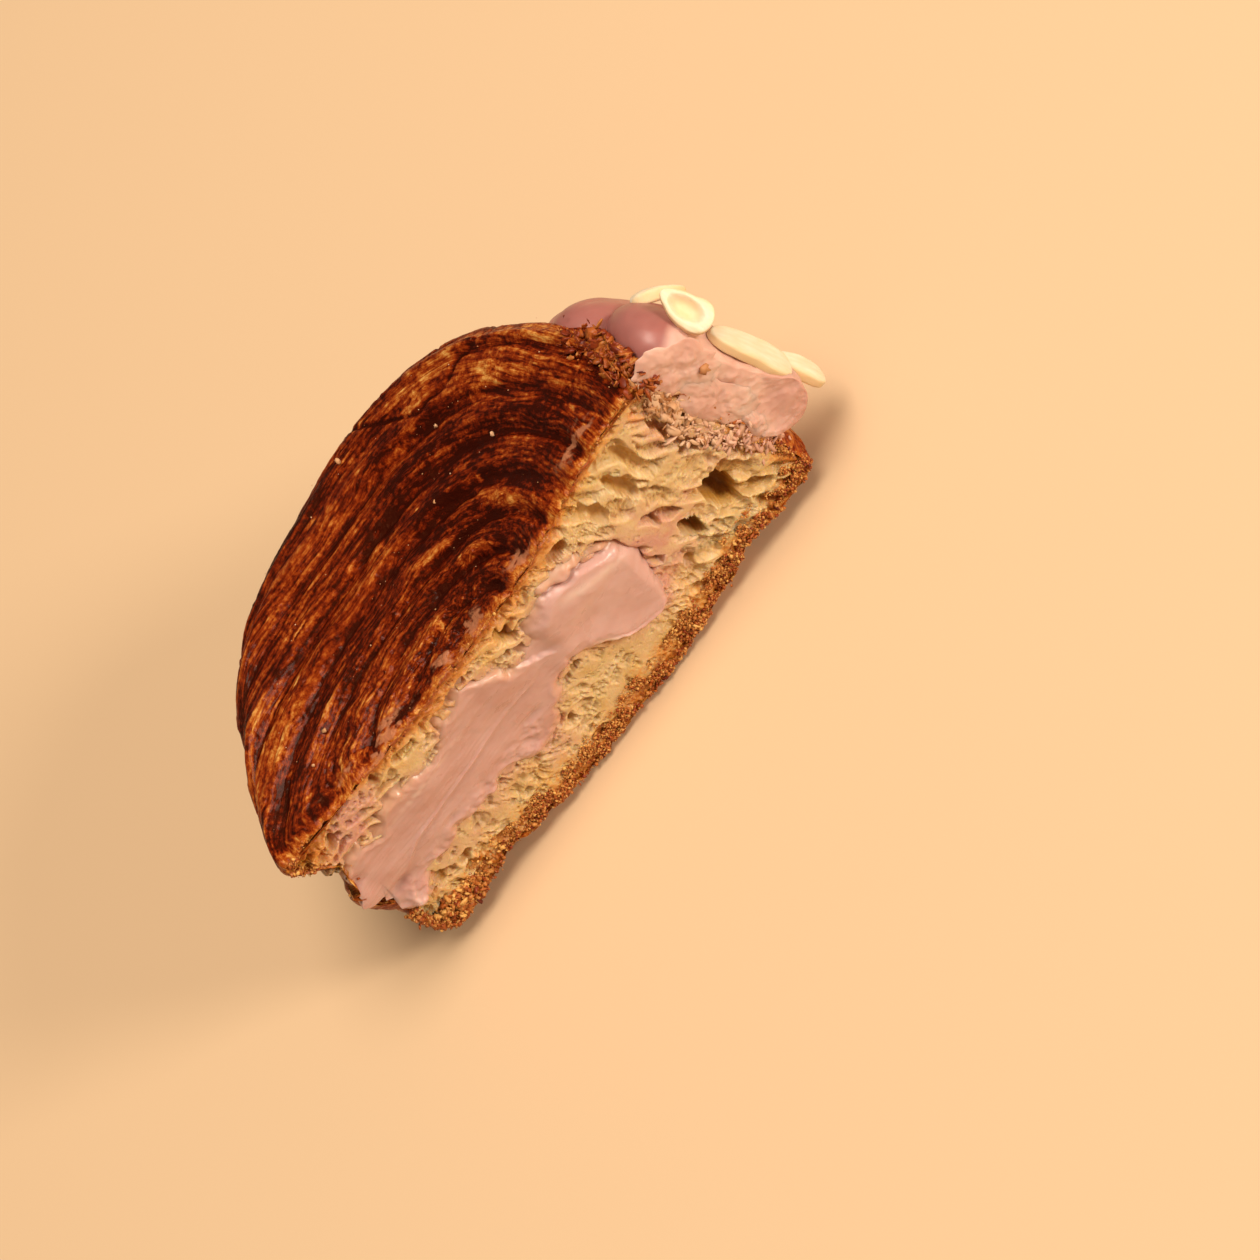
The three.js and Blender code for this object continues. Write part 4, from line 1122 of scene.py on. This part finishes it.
def edge_grains(material):
    """Grains of crushed crust in the golden band along the lower edge of the cut and round its ends. They
    thin out with their distance from the edge, and lie in clumps."""
    rng = np.random.default_rng(7)
    outline = cut_outline(GRAIN_PLACES)
    low = (outline[:, 1] < 10).astype(float)
    rim = 0.30 * (outline[:, 0] > 44) * (outline[:, 1] < 26)
    rim = rim + 0.30 * (outline[:, 0] < -44) * (np.abs(outline[:, 1] - 26) > 11)
    for name, seed, count, fine in GRAINS:
        weight = low + rim + 0.015
        pick = rng.choice(len(outline), 3 * count, p=weight / weight.sum())
        reach = np.where(low[pick] > 0, 5.6, 1.8)
        inset = reach * rng.uniform(0, 1, len(pick)) ** 1.5 - 0.12
        centre = CUT_MIDDLE - outline[pick]
        inward = centre / np.linalg.norm(centre, axis=1, keepdims=True)
        up = np.where(low[pick, None] > 0, np.array([[0.0, 1.0]]), inward)
        plan = outline[pick] + up * inset[:, None] + rng.normal(0, 0.2, (len(pick), 2))
        clump = noise(plan[:, 0] / 1.5, plan[:, 1] / 1.2, 431)
        clump = clump + 0.6 * noise(plan[:, 0] / 4, plan[:, 1] / 3, 433)
        keep = np.argsort(-(clump - 0.5 * inset / reach + rng.normal(0, 0.35, len(pick))))[:count]
        plan, inset, reach = plan[keep], inset[keep], reach[keep]
        depth = crumb_depth(plan[:, 0], plan[:, 1])
        y = np.clip(0.2 * depth, -0.3, 0.6) - 0.15 + rng.normal(0, 0.22, count)
        size = fine * (0.10 + 0.26 * rng.power(0.5, count)) * (1 - 0.3 * inset / reach)
        sizes = size[:, None] * rng.uniform(0.6, 1.4, (count, 3))
        places = np.stack([plan[:, 0], y, np.maximum(plan[:, 1], 0.55)], -1)
        tone = np.clip(0.33 + 0.16 * rng.normal(size=count) - 0.18 * inset / reach, 0.02, 0.7)
        bits(name, places, sizes, turns_for(rng, count), ball(), material, seed, 0.28, tone)


def golden_flakes(material):
    """Larger torn flakes along the golden edge, in clumps that make it uneven, and a heap of them at the
    edge's -x end."""
    rng = np.random.default_rng(27)
    outline = cut_outline(GRAIN_PLACES)
    clump = smooth(-0.2, 0.7, noise(outline[:, 0] / 3.2, 0 * outline[:, 0], 441))
    weight = (outline[:, 1] < 9) * clump + 5.0 * (outline[:, 1] < 12) * bell(outline[:, 0], -45, 4.5)
    count = 900
    pick = rng.choice(len(outline), count, p=weight / weight.sum())
    inset = 3.4 * rng.uniform(0, 1, count) ** 1.7
    end = bell(outline[pick, 0], -45, 4.5)
    places = np.stack([
        outline[pick, 0] + rng.normal(0, 0.5, count),
        rng.normal(-0.1, 0.35, count) - 0.3 * end,
        outline[pick, 1] + inset * (1 + 0.8 * end) - 0.1,
    ], -1)  # fmt: skip
    places[:, 2] = np.maximum(places[:, 2], 1.1)
    size = (0.2 + 0.4 * rng.power(0.5, count)) * (1 + 0.5 * end)
    sizes = size[:, None] * rng.uniform((0.7, 0.3, 0.4), (1.4, 0.7, 0.9), (count, 3))
    tone = np.clip(0.33 + 0.16 * rng.normal(size=count) - 0.05 * inset, 0.02, 0.7)
    bits("golden_flakes", places, sizes, turns_for(rng, count), finer_ball(), material, 28, 0.4, tone)


# Where crust and crumb were mashed at the ganache end: paths in the roll's mm, one over the corner of
# the dark face and one down the cut below the ganache.
CRUST_MASH = ((44.5, 17, 48.3), (46.8, 11, 48.6), (47.8, 6, 48.4), (47.8, 1.5, 47.6), (47.6, 0, 44))
CRUMB_MASH = ((48.6, 0, 45), (47.0, -0.1, 40), (45.6, 0.1, 34), (45.2, 0.1, 28), (47.5, 0, 21), (49.8, 0, 15))


def along_path(rng, path, count, spread):
    """Random places about a path, and how far along it each one lies, 0 to 1."""
    path = np.array(path)
    share = rng.uniform(0, 1, count) * (len(path) - 1)
    middle = np.stack([np.interp(share, np.arange(len(path)), path[:, k]) for k in range(3)], -1)
    return middle + rng.normal(size=(count, 3)) * spread, share / (len(path) - 1)


def mashed_crust(rng, crumbs):
    """Torn flakes of crust mashed along the ganache end's corner."""
    count = 420
    places, share = along_path(rng, CRUST_MASH, count, (1.6, 1.2, 0.4))
    places[:, 2] = np.minimum(places[:, 2], dark_face(places[:, 0], places[:, 1]) - 0.2)
    places[:, 1] = np.maximum(places[:, 1], -0.5)
    places[:, 0] = np.minimum(places[:, 0], 49.5)
    size = 0.25 + 0.95 * rng.power(0.4, count)
    sizes = size[:, None] * rng.uniform((0.5, 0.12, 0.5), (1.3, 0.35, 1.4), (count, 3))
    tone = np.clip(0.48 - 0.12 * share + 0.12 * rng.normal(size=count), 0.15, 0.85)
    bits("ganache_end_mash", places, sizes, turns_for(rng, count), finer_ball(), crumbs, 18, 0.45, tone)


def crumb_shreds(rng, shreds):
    """Shreds of crumb on the cut below the ganache, most of them flat against it, toasted above and
    paler, then pink, towards the lower end."""
    count = 560
    places, share = along_path(rng, CRUMB_MASH, count, (1.5, 0.16, 1.6))
    places[:, 0] = np.minimum(places[:, 0], np.where(places[:, 2] < 24, 50.4, 99))
    size = 0.34 + 0.75 * rng.power(0.45, count)
    sizes = size[:, None] * rng.uniform((0.35, 0.2, 0.8), (0.75, 0.4, 1.7), (count, 3))
    places[:, 1] = places[:, 1] + 0.1
    tone = np.clip(0.50 - 0.56 * share + 0.12 * rng.normal(size=count), 0, 1)
    turns = turns_for(rng, count)
    lying = np.arange(count) % 3 > 0
    turns = np.where(lying[:, None, None], turns_about_y(rng.normal(0.4, 0.5, count)), turns)
    bits("ganache_end_shreds", places, sizes, turns, finer_ball(), shreds, 19, 0.4, tone)


# Larger crumbs on the dark face, each x, y and half size, and a toasted one on the ganache.
LARGER_CRUMBS = (
    (0.5, 45.6, 0.55), (17.4, 31.9, 0.4), (24, 20.2, 0.34), (8.7, 23.4, 0.3), (-30, 12, 0.4), (-35, 9, 0.3),
)  # fmt: skip
GANACHE_CRUMB = (54.6, -1.1, 38.3)
GANACHE_CRUMB_SIZE = 0.8


def crumbs_and_glint_specks(shreds):
    """Pale specks and a few larger crumbs that lie on the dark face, and one toasted crumb on the ganache,
    which is the last of them. The small pale specks are crumbs that also serve as painted glints."""
    rng = np.random.default_rng(37)
    count = 130
    far = ROLL_RADIUS * rng.uniform(0.05, 0.98, count) ** 0.6
    turn = rng.uniform(0.02, 3.1, count)
    x, y = far * np.cos(turn), far * np.sin(turn)
    # The small pale specks: crumbs that also stand in for glints, painted glints on the lacquer.
    size = 0.04 + 0.10 * rng.power(0.4, count)
    larger = slice(len(LARGER_CRUMBS))
    x[larger], y[larger], size[larger] = np.array(LARGER_CRUMBS).T
    height = dark_face(x, y) + 0.35 * size + 0.1 - 2.0 * smooth(47, 51, np.hypot(x, y))
    places = np.stack([x, y, height], -1)
    places[-1] = GANACHE_CRUMB
    size[-1] = GANACHE_CRUMB_SIZE
    sizes = size[:, None] * rng.uniform(0.6, 1.2, (count, 3))
    tone = np.where(np.arange(count) == count - 1, 0.7, rng.uniform(0.3, 0.62, count))
    bits("crumbs_and_glint_specks", places, sizes, turns_for(rng, count), finer_ball(), shreds, 38, 0.4, tone)


# ---- Materials ----


def node(tree, kind, inputs=None, **settings):
    """A shader node with its settings, its inputs linked to sockets or set to values."""
    made = tree.nodes.new(kind)
    for key, value in settings.items():
        setattr(made, key, value)
    for key, value in (inputs or {}).items():
        if isinstance(value, bpy.types.NodeSocket):
            tree.links.new(value, made.inputs[key])
        else:
            made.inputs[key].default_value = value
    return made


def attribute(tree, name, output="Fac"):
    """What a piece's own attribute holds."""
    return node(tree, "ShaderNodeAttribute", attribute_name=name).outputs[output]


def object_place(tree):
    """The place on the piece, in metres."""
    return node(tree, "ShaderNodeTexCoord").outputs["Object"]


def stretched(tree, vector, scale):
    """Coordinates times a scale along each way."""
    return node(tree, "ShaderNodeMapping", {"Vector": vector, "Scale": scale}).outputs[0]


def maths(tree, operation, *values, clamp=False):
    """The result of one operation on values or sockets."""
    made = node(tree, "ShaderNodeMath", dict(enumerate(values)), operation=operation, use_clamp=clamp)
    return made.outputs[0]


def scaled(tree, value, factor, more, clamp=False):
    """The value times a factor, plus some more."""
    return maths(tree, "MULTIPLY_ADD", value, factor, more, clamp=clamp)


def blend_colours(tree, share, first, second):
    """The share of the way from the first colour to the second."""
    colours = [c if isinstance(c, bpy.types.NodeSocket) else (*c, 1) for c in (first, second)]
    factor, low, high = 0, 6, 7  # the colour sockets of a Mix node share their names with others
    made = node(tree, "ShaderNodeMix", {factor: share, low: colours[0], high: colours[1]}, data_type="RGBA")
    return made.outputs[2]


def ramp(tree, value, *stops):
    """A colour ramp through stops, each a place and a linear colour."""
    made = node(tree, "ShaderNodeValToRGB", {0: value})
    elements = made.color_ramp.elements
    while len(elements) < len(stops):
        elements.new(0.5)
    for element, (place, colour) in zip(elements, stops):
        element.position = place
        element.color = (*colour, 1)
    return made.outputs[0]


def build_grain_group():
    """Noise at two sizes, for the fine grain of each finish: a height and a mask."""
    group = bpy.data.node_groups.new("fine_grain", "ShaderNodeTree")
    for name, kind in (("Vector", "NodeSocketVector"), ("Scale", "NodeSocketFloat")):
        group.interface.new_socket(name, in_out="INPUT", socket_type=kind)
    for name in ("Height", "Mask"):
        group.interface.new_socket(name, in_out="OUTPUT", socket_type="NodeSocketFloat")
    source = group.nodes.new("NodeGroupInput").outputs
    result = group.nodes.new("NodeGroupOutput").inputs
    coarse = node(group, "ShaderNodeTexNoise", {"Vector": source[0], "Scale": source[1], "Detail": 3.0})
    finer = maths(group, "MULTIPLY", source[1], 3.3)
    fine = node(group, "ShaderNodeTexNoise", {"Vector": source[0], "Scale": finer, "Detail": 2.0})
    half = maths(group, "MULTIPLY", fine.outputs[0], 0.45)
    group.links.new(maths(group, "ADD", coarse.outputs[0], half), result["Height"])
    group.links.new(scaled(group, coarse.outputs[0], 2.4, -0.7, clamp=True), result["Mask"])
    return group


def grain(tree, group, vector, scale):
    """The grain group's height and mask at a scale."""
    return node(tree, "ShaderNodeGroup", {"Vector": vector, "Scale": scale}, node_tree=group).outputs


def new_material(name, **shader_values):
    """A material with one Principled shader, whose constant inputs are set on the shader itself."""
    material = bpy.data.materials.new(name)
    material.use_nodes = True
    shader = material.node_tree.nodes["Principled BSDF"]
    for key, value in shader_values.items():
        shader.inputs[key.replace("_", " ")].default_value = value
    return material, material.node_tree, shader


def finish_material(tree, shader, colour, roughness, height, strength, distance):
    """Links the colour, the roughness and a bump from a height to the shader."""
    tree.links.new(colour, shader.inputs["Base Color"])
    tree.links.new(roughness, shader.inputs["Roughness"])
    bump = node(tree, "ShaderNodeBump", {"Height": height, "Strength": strength, "Distance": distance})
    tree.links.new(bump.outputs[0], shader.inputs["Normal"])


BAKED_STOPS = (
    (0.00, (0.80, 0.46, 0.13)),
    (0.16, (0.62, 0.27, 0.060)),
    (0.34, (0.43, 0.108, 0.014)),
    (0.52, (0.25, 0.031, 0.003)),
    (0.70, (0.11, 0.008, 0.001)),
    (0.88, (0.030, 0.002, 0.0003)),
)
TOASTED_STOPS = (
    (0.08, (0.82, 0.46, 0.08)),
    (0.40, (0.74, 0.28, 0.02)),
    (0.90, (0.30, 0.06, 0.005)),
)
SHRED_STOPS = (
    (0.00, (0.74, 0.42, 0.31)),
    (0.22, (0.78, 0.52, 0.34)),
    (0.50, (0.60, 0.30, 0.13)),
    (1.00, (0.32, 0.08, 0.01)),
)
CREAM_FILM = (0.50, 0.20, 0.10)


def crust_material(group):
    """Lacquered crust: the bake attribute runs through golden, chestnut and near black, broken up by
    fine strands along the layers and by speckles, under thin films of cream."""
    material, tree, shader = new_material(
        "lacquered_crust",
        Coat_Weight=0.10,
        Coat_Roughness=0.14,
        Coat_Tint=(1.0, 0.80, 0.60, 1),
        Specular_IOR_Level=0.14,
        Specular_Tint=(1.0, 0.45, 0.20, 1),
    )
    along = attribute(tree, "strand", "Vector")
    strands = grain(tree, group, stretched(tree, along, (0.20, 1.0, 0.3)), 1.1)
    threads = grain(tree, group, stretched(tree, along, (0.22, 1.0, 0.35)), 3.6)
    place = object_place(tree)
    speckle = grain(tree, group, place, 1100.0)
    # Mottle takes over from strands in patches.
    patch = grain(tree, group, place, 170.0)["Mask"]
    lines = maths(tree, "ADD", strands["Height"], maths(tree, "ADD", threads["Height"], -1.42))
    lines = maths(tree, "MULTIPLY", lines, scaled(tree, patch, -0.5, 0.85))
    dots = maths(tree, "ADD", speckle["Height"], -0.72)
    dots = maths(tree, "MULTIPLY", dots, scaled(tree, patch, 0.75, 0.35))
    baked = maths(tree, "ADD", attribute(tree, "bake"), maths(tree, "ADD", lines, dots))
    film = attribute(tree, "film")
    torn = maths(tree, "ADD", film, scaled(tree, speckle["Height"], 1.6, -1.1))
    thin = maths(tree, "MINIMUM", maths(tree, "MULTIPLY", film, 2.0), 0.75)
    cover = maths(tree, "MULTIPLY", scaled(tree, torn, 2.2, -0.4, clamp=True), thin)
    colour = blend_colours(tree, cover, ramp(tree, baked, *BAKED_STOPS), CREAM_FILM)
    roughness = scaled(tree, speckle["Mask"], 0.25, 0.26)
    height = maths(tree, "ADD", threads["Height"], strands["Height"])
    height = scaled(tree, speckle["Height"], 0.5, height)
    finish_material(tree, shader, colour, roughness, height, 0.6, 0.28 * MM)
    return material


def crumb_material(group):
    """Open crumb: pale and slightly yellow, deeper yellow and darker in its cells and holes as painted
    shade, toasted to golden brown by the crust and stained pink by the cream."""
    material, tree, shader = new_material(
        "open_crumb",
        Subsurface_Weight=0.6,
        Subsurface_Scale=1.2 * MM,
        Subsurface_Radius=(1.0, 0.62, 0.22),
        Specular_IOR_Level=0.5,
    )
    place = object_place(tree)
    fine = grain(tree, group, place, 650.0)
    patches = grain(tree, group, place, 260.0)
    pale = blend_colours(tree, patches["Mask"], (0.63, 0.42, 0.165), (0.76, 0.575, 0.32))
    # Painted shade: deeper places turn a darker, more saturated yellow, and the deepest holes brown.
    depth = attribute(tree, "depth")
    deep = blend_colours(tree, maths(tree, "MULTIPLY", depth, 1.6, clamp=True), pale, (0.57, 0.30, 0.055))
    deep = blend_colours(tree, scaled(tree, depth, 2.6, -1.6, clamp=True), deep, (0.34, 0.15, 0.035))
    stained = blend_colours(tree, attribute(tree, "smear"), deep, (0.64, 0.33, 0.24))
    toast = maths(tree, "ADD", attribute(tree, "toast"), scaled(tree, fine["Height"], 0.35, -0.25))
    share = scaled(tree, toast, 1.7, -0.15, clamp=True)
    colour = blend_colours(tree, share, stained, ramp(tree, toast, *TOASTED_STOPS))
    roughness = scaled(tree, fine["Mask"], 0.25, 0.32)
    finish_material(tree, shader, colour, roughness, fine["Height"], 0.8, 0.35 * MM)
    return material


def crumbs_material(group):
    """Loose grains of crust, each with its own tone."""
    material, tree, shader = new_material("crust_crumbs", Specular_IOR_Level=0.4)
    fine = grain(tree, group, object_place(tree), 1500.0)
    tone = maths(tree, "ADD", attribute(tree, "tone"), scaled(tree, fine["Height"], 0.25, -0.18))
    roughness = scaled(tree, fine["Mask"], 0.2, 0.35)
    finish_material(tree, shader, ramp(tree, tone, *BAKED_STOPS), roughness, fine["Height"], 0.3, 0.15 * MM)
    return material


def shreds_material():
    """Loose bits of crumb and cream: pink at tone 0, cream-white by a fifth, tan, then toasted brown."""
    material, tree, shader = new_material("shreds", Specular_IOR_Level=0.35, Roughness=0.55)
    colour = ramp(tree, attribute(tree, "tone"), *SHRED_STOPS)
    tree.links.new(colour, shader.inputs["Base Color"])
    return material


def cream_material(group):
    """Whipped cream: dusky pink, tanner where it is thin, paler where a highlight is painted on, with a soft
    sheen and faint streaks."""
    material, tree, shader = new_material(
        "pink_cream",
        Subsurface_Weight=0.5,
        Subsurface_Scale=1.6 * MM,
        Subsurface_Radius=(1.0, 0.5, 0.4),
        Specular_IOR_Level=0.5,
    )
    streaks = grain(tree, group, stretched(tree, object_place(tree), (0.6, 1.0, 1.2)), 330.0)
    colour = blend_colours(tree, attribute(tree, "stain"), (0.55, 0.30, 0.25), (0.64, 0.40, 0.36))
    colour = blend_colours(tree, attribute(tree, "thin"), colour, (0.63, 0.36, 0.23))
    # Painted highlight: the colour turns pale where the highlight attribute is set.
    colour = blend_colours(tree, attribute(tree, "painted_highlight"), colour, (0.88, 0.70, 0.62))
    roughness = scaled(tree, streaks["Mask"], 0.22, 0.22)
    finish_material(tree, shader, colour, roughness, streaks["Height"], 0.22, 0.2 * MM)
    return material


def ganache_material(group):
    """Set ganache: smooth, dusky pink and satin, paler and rougher where the knife smeared it."""
    material, tree, shader = new_material(
        "pink_ganache",
        Subsurface_Weight=0.3,
        Subsurface_Scale=1.0 * MM,
        Subsurface_Radius=(1.0, 0.45, 0.35),
        Specular_IOR_Level=0.5,
    )
    soft = grain(tree, group, object_place(tree), 180.0)
    skin = blend_colours(tree, soft["Mask"], (0.33, 0.115, 0.10), (0.41, 0.15, 0.13))
    smear = blend_colours(tree, soft["Mask"], (0.64, 0.36, 0.29), (0.75, 0.49, 0.41))
    cut = attribute(tree, "cut")
    colour = blend_colours(tree, cut, skin, smear)
    roughness = scaled(tree, cut, 0.15, 0.36)
    finish_material(tree, shader, colour, roughness, soft["Height"], 0.15, 0.2 * MM)
    return material


def almond_material(group):
    """Blanched almond: ivory faces with a faint grain, yellower along the sides."""
    material, tree, shader = new_material(
        "blanched_almond",
        Subsurface_Weight=0.3,
        Subsurface_Scale=1.5 * MM,
        Subsurface_Radius=(1.0, 0.7, 0.4),
        Specular_IOR_Level=0.4,
    )
    lengthwise = stretched(tree, attribute(tree, "grain", "Vector"), (0.25, 1, 1))
    fibres = grain(tree, group, lengthwise, 1.1)
    face = blend_colours(tree, fibres["Mask"], (0.80, 0.66, 0.46), (0.88, 0.78, 0.62))
    side = maths(tree, "MULTIPLY", attribute(tree, "side"), 0.7)
    colour = blend_colours(tree, side, face, (0.78, 0.56, 0.28))
    roughness = scaled(tree, fibres["Mask"], 0.15, 0.42)
    finish_material(tree, shader, colour, roughness, fibres["Height"], 0.2, 0.12 * MM)
    return material


# ---- Stage, camera and light ----

# The camera looks from the photograph's side of the half, rolled as the half leans in the photograph.
CAMERA_PLACE = Vector((182.2, -474.8, 513.8)) * MM
CAMERA_AIM = Vector((10.5, -14.6, 15.0)) * MM
CAMERA_UP = Vector((0.7663, 0.5817, 0.2728))
FOCAL_PIXELS = 4400
FRAME_PIXELS = 1260
SENSOR = 36.0

FLOOR_HALF = 6.0  # in metres, as are the lights' places and sizes
FLOOR_COLOUR = (0.825, 0.592, 0.372, 1)
SURROUND_COLOUR = (1.0, 0.80, 0.58, 1)
SURROUND_STRENGTH = 0.215
# The lights: name, place, size, power in watts and colour.
LIGHTS = (
    ("key", (1.71, -1.30, 0.74), 0.54, 34, (1.0, 0.88, 0.72)),
    ("top", (0.49, -0.21, 1.61), 1.0, 25, (1.0, 0.87, 0.73)),
)
LIGHTS_AIM = (0, 0, 0.02)


def make_camera():
    """A camera at its place, turned to its aim with its own up."""
    data = bpy.data.cameras.new("camera")
    data.sensor_width = SENSOR
    data.lens = SENSOR * FOCAL_PIXELS / FRAME_PIXELS
    data.clip_start, data.clip_end = 0.05, 20
    camera = bpy.data.objects.new("camera", data)
    bpy.context.scene.collection.objects.link(camera)
    back = (CAMERA_PLACE - CAMERA_AIM).normalized()
    right = CAMERA_UP.cross(back).normalized()
    up = back.cross(right)
    camera.matrix_world = Matrix.Translation(CAMERA_PLACE) @ Matrix((right, up, back)).transposed().to_4x4()
    bpy.context.scene.camera = camera


def make_light(name, place, size, power, colour):
    """A round area light that shines at the roll."""
    data = bpy.data.lights.new(name, "AREA")
    data.shape = "DISK"
    data.size = size
    data.energy = power
    data.color = colour
    lamp = bpy.data.objects.new(name, data)
    lamp.location = place
    lamp.rotation_euler = (Vector(LIGHTS_AIM) - Vector(place)).to_track_quat("-Z", "Y").to_euler()
    bpy.context.scene.collection.objects.link(lamp)


def make_stage():
    """A plain pale floor under soft light: a low key from the ganache end, a top light and a pale
    surround."""
    mesh = bpy.data.meshes.new("floor")
    corners = [(x * FLOOR_HALF, y * FLOOR_HALF, 0) for x, y in ((-1, -1), (1, -1), (1, 1), (-1, 1))]
    mesh.from_pydata(corners, [], [(0, 1, 2, 3)])
    floor = bpy.data.objects.new("floor", mesh)
    bpy.context.scene.collection.objects.link(floor)
    material = new_material("pale_floor", Base_Color=FLOOR_COLOUR, Roughness=0.9, Specular_IOR_Level=0.1)[0]
    mesh.materials.append(material)
    for measures in LIGHTS:
        make_light(*measures)
    world = bpy.data.worlds.new("pale_surround")
    world.use_nodes = True
    background = world.node_tree.nodes["Background"]
    background.inputs["Color"].default_value = SURROUND_COLOUR
    background.inputs["Strength"].default_value = SURROUND_STRENGTH
    bpy.context.scene.world = world


# ---- The roll ----


def build():
    """Every piece of the roll, in its finish."""
    grain_group = build_grain_group()
    crust = crust_material(grain_group)
    crumbs = crumbs_material(grain_group)
    crust_shell("dark_crust", DARK_ROWS, 0, crust)
    crust_shell("golden_crust", GOLDEN_ROWS, 1, crust)
    crumb_pieces(crumb_material(grain_group))
    cream_piece(cream_material(grain_group))
    ganache_piece(ganache_material(grain_group))
    almond = almond_material(grain_group)
    for number, values in enumerate(ALMONDS):
        almond_piece(number, *values, almond)
    edge_grains(crumbs)
    golden_flakes(crumbs)
    shreds = shreds_material()
    rng = np.random.default_rng(17)
    mashed_crust(rng, crumbs)
    crumb_shreds(rng, shreds)
    crumbs_and_glint_specks(shreds)


bpy.context.scene.view_settings.view_transform = "Standard"
make_camera()
make_stage()
build()
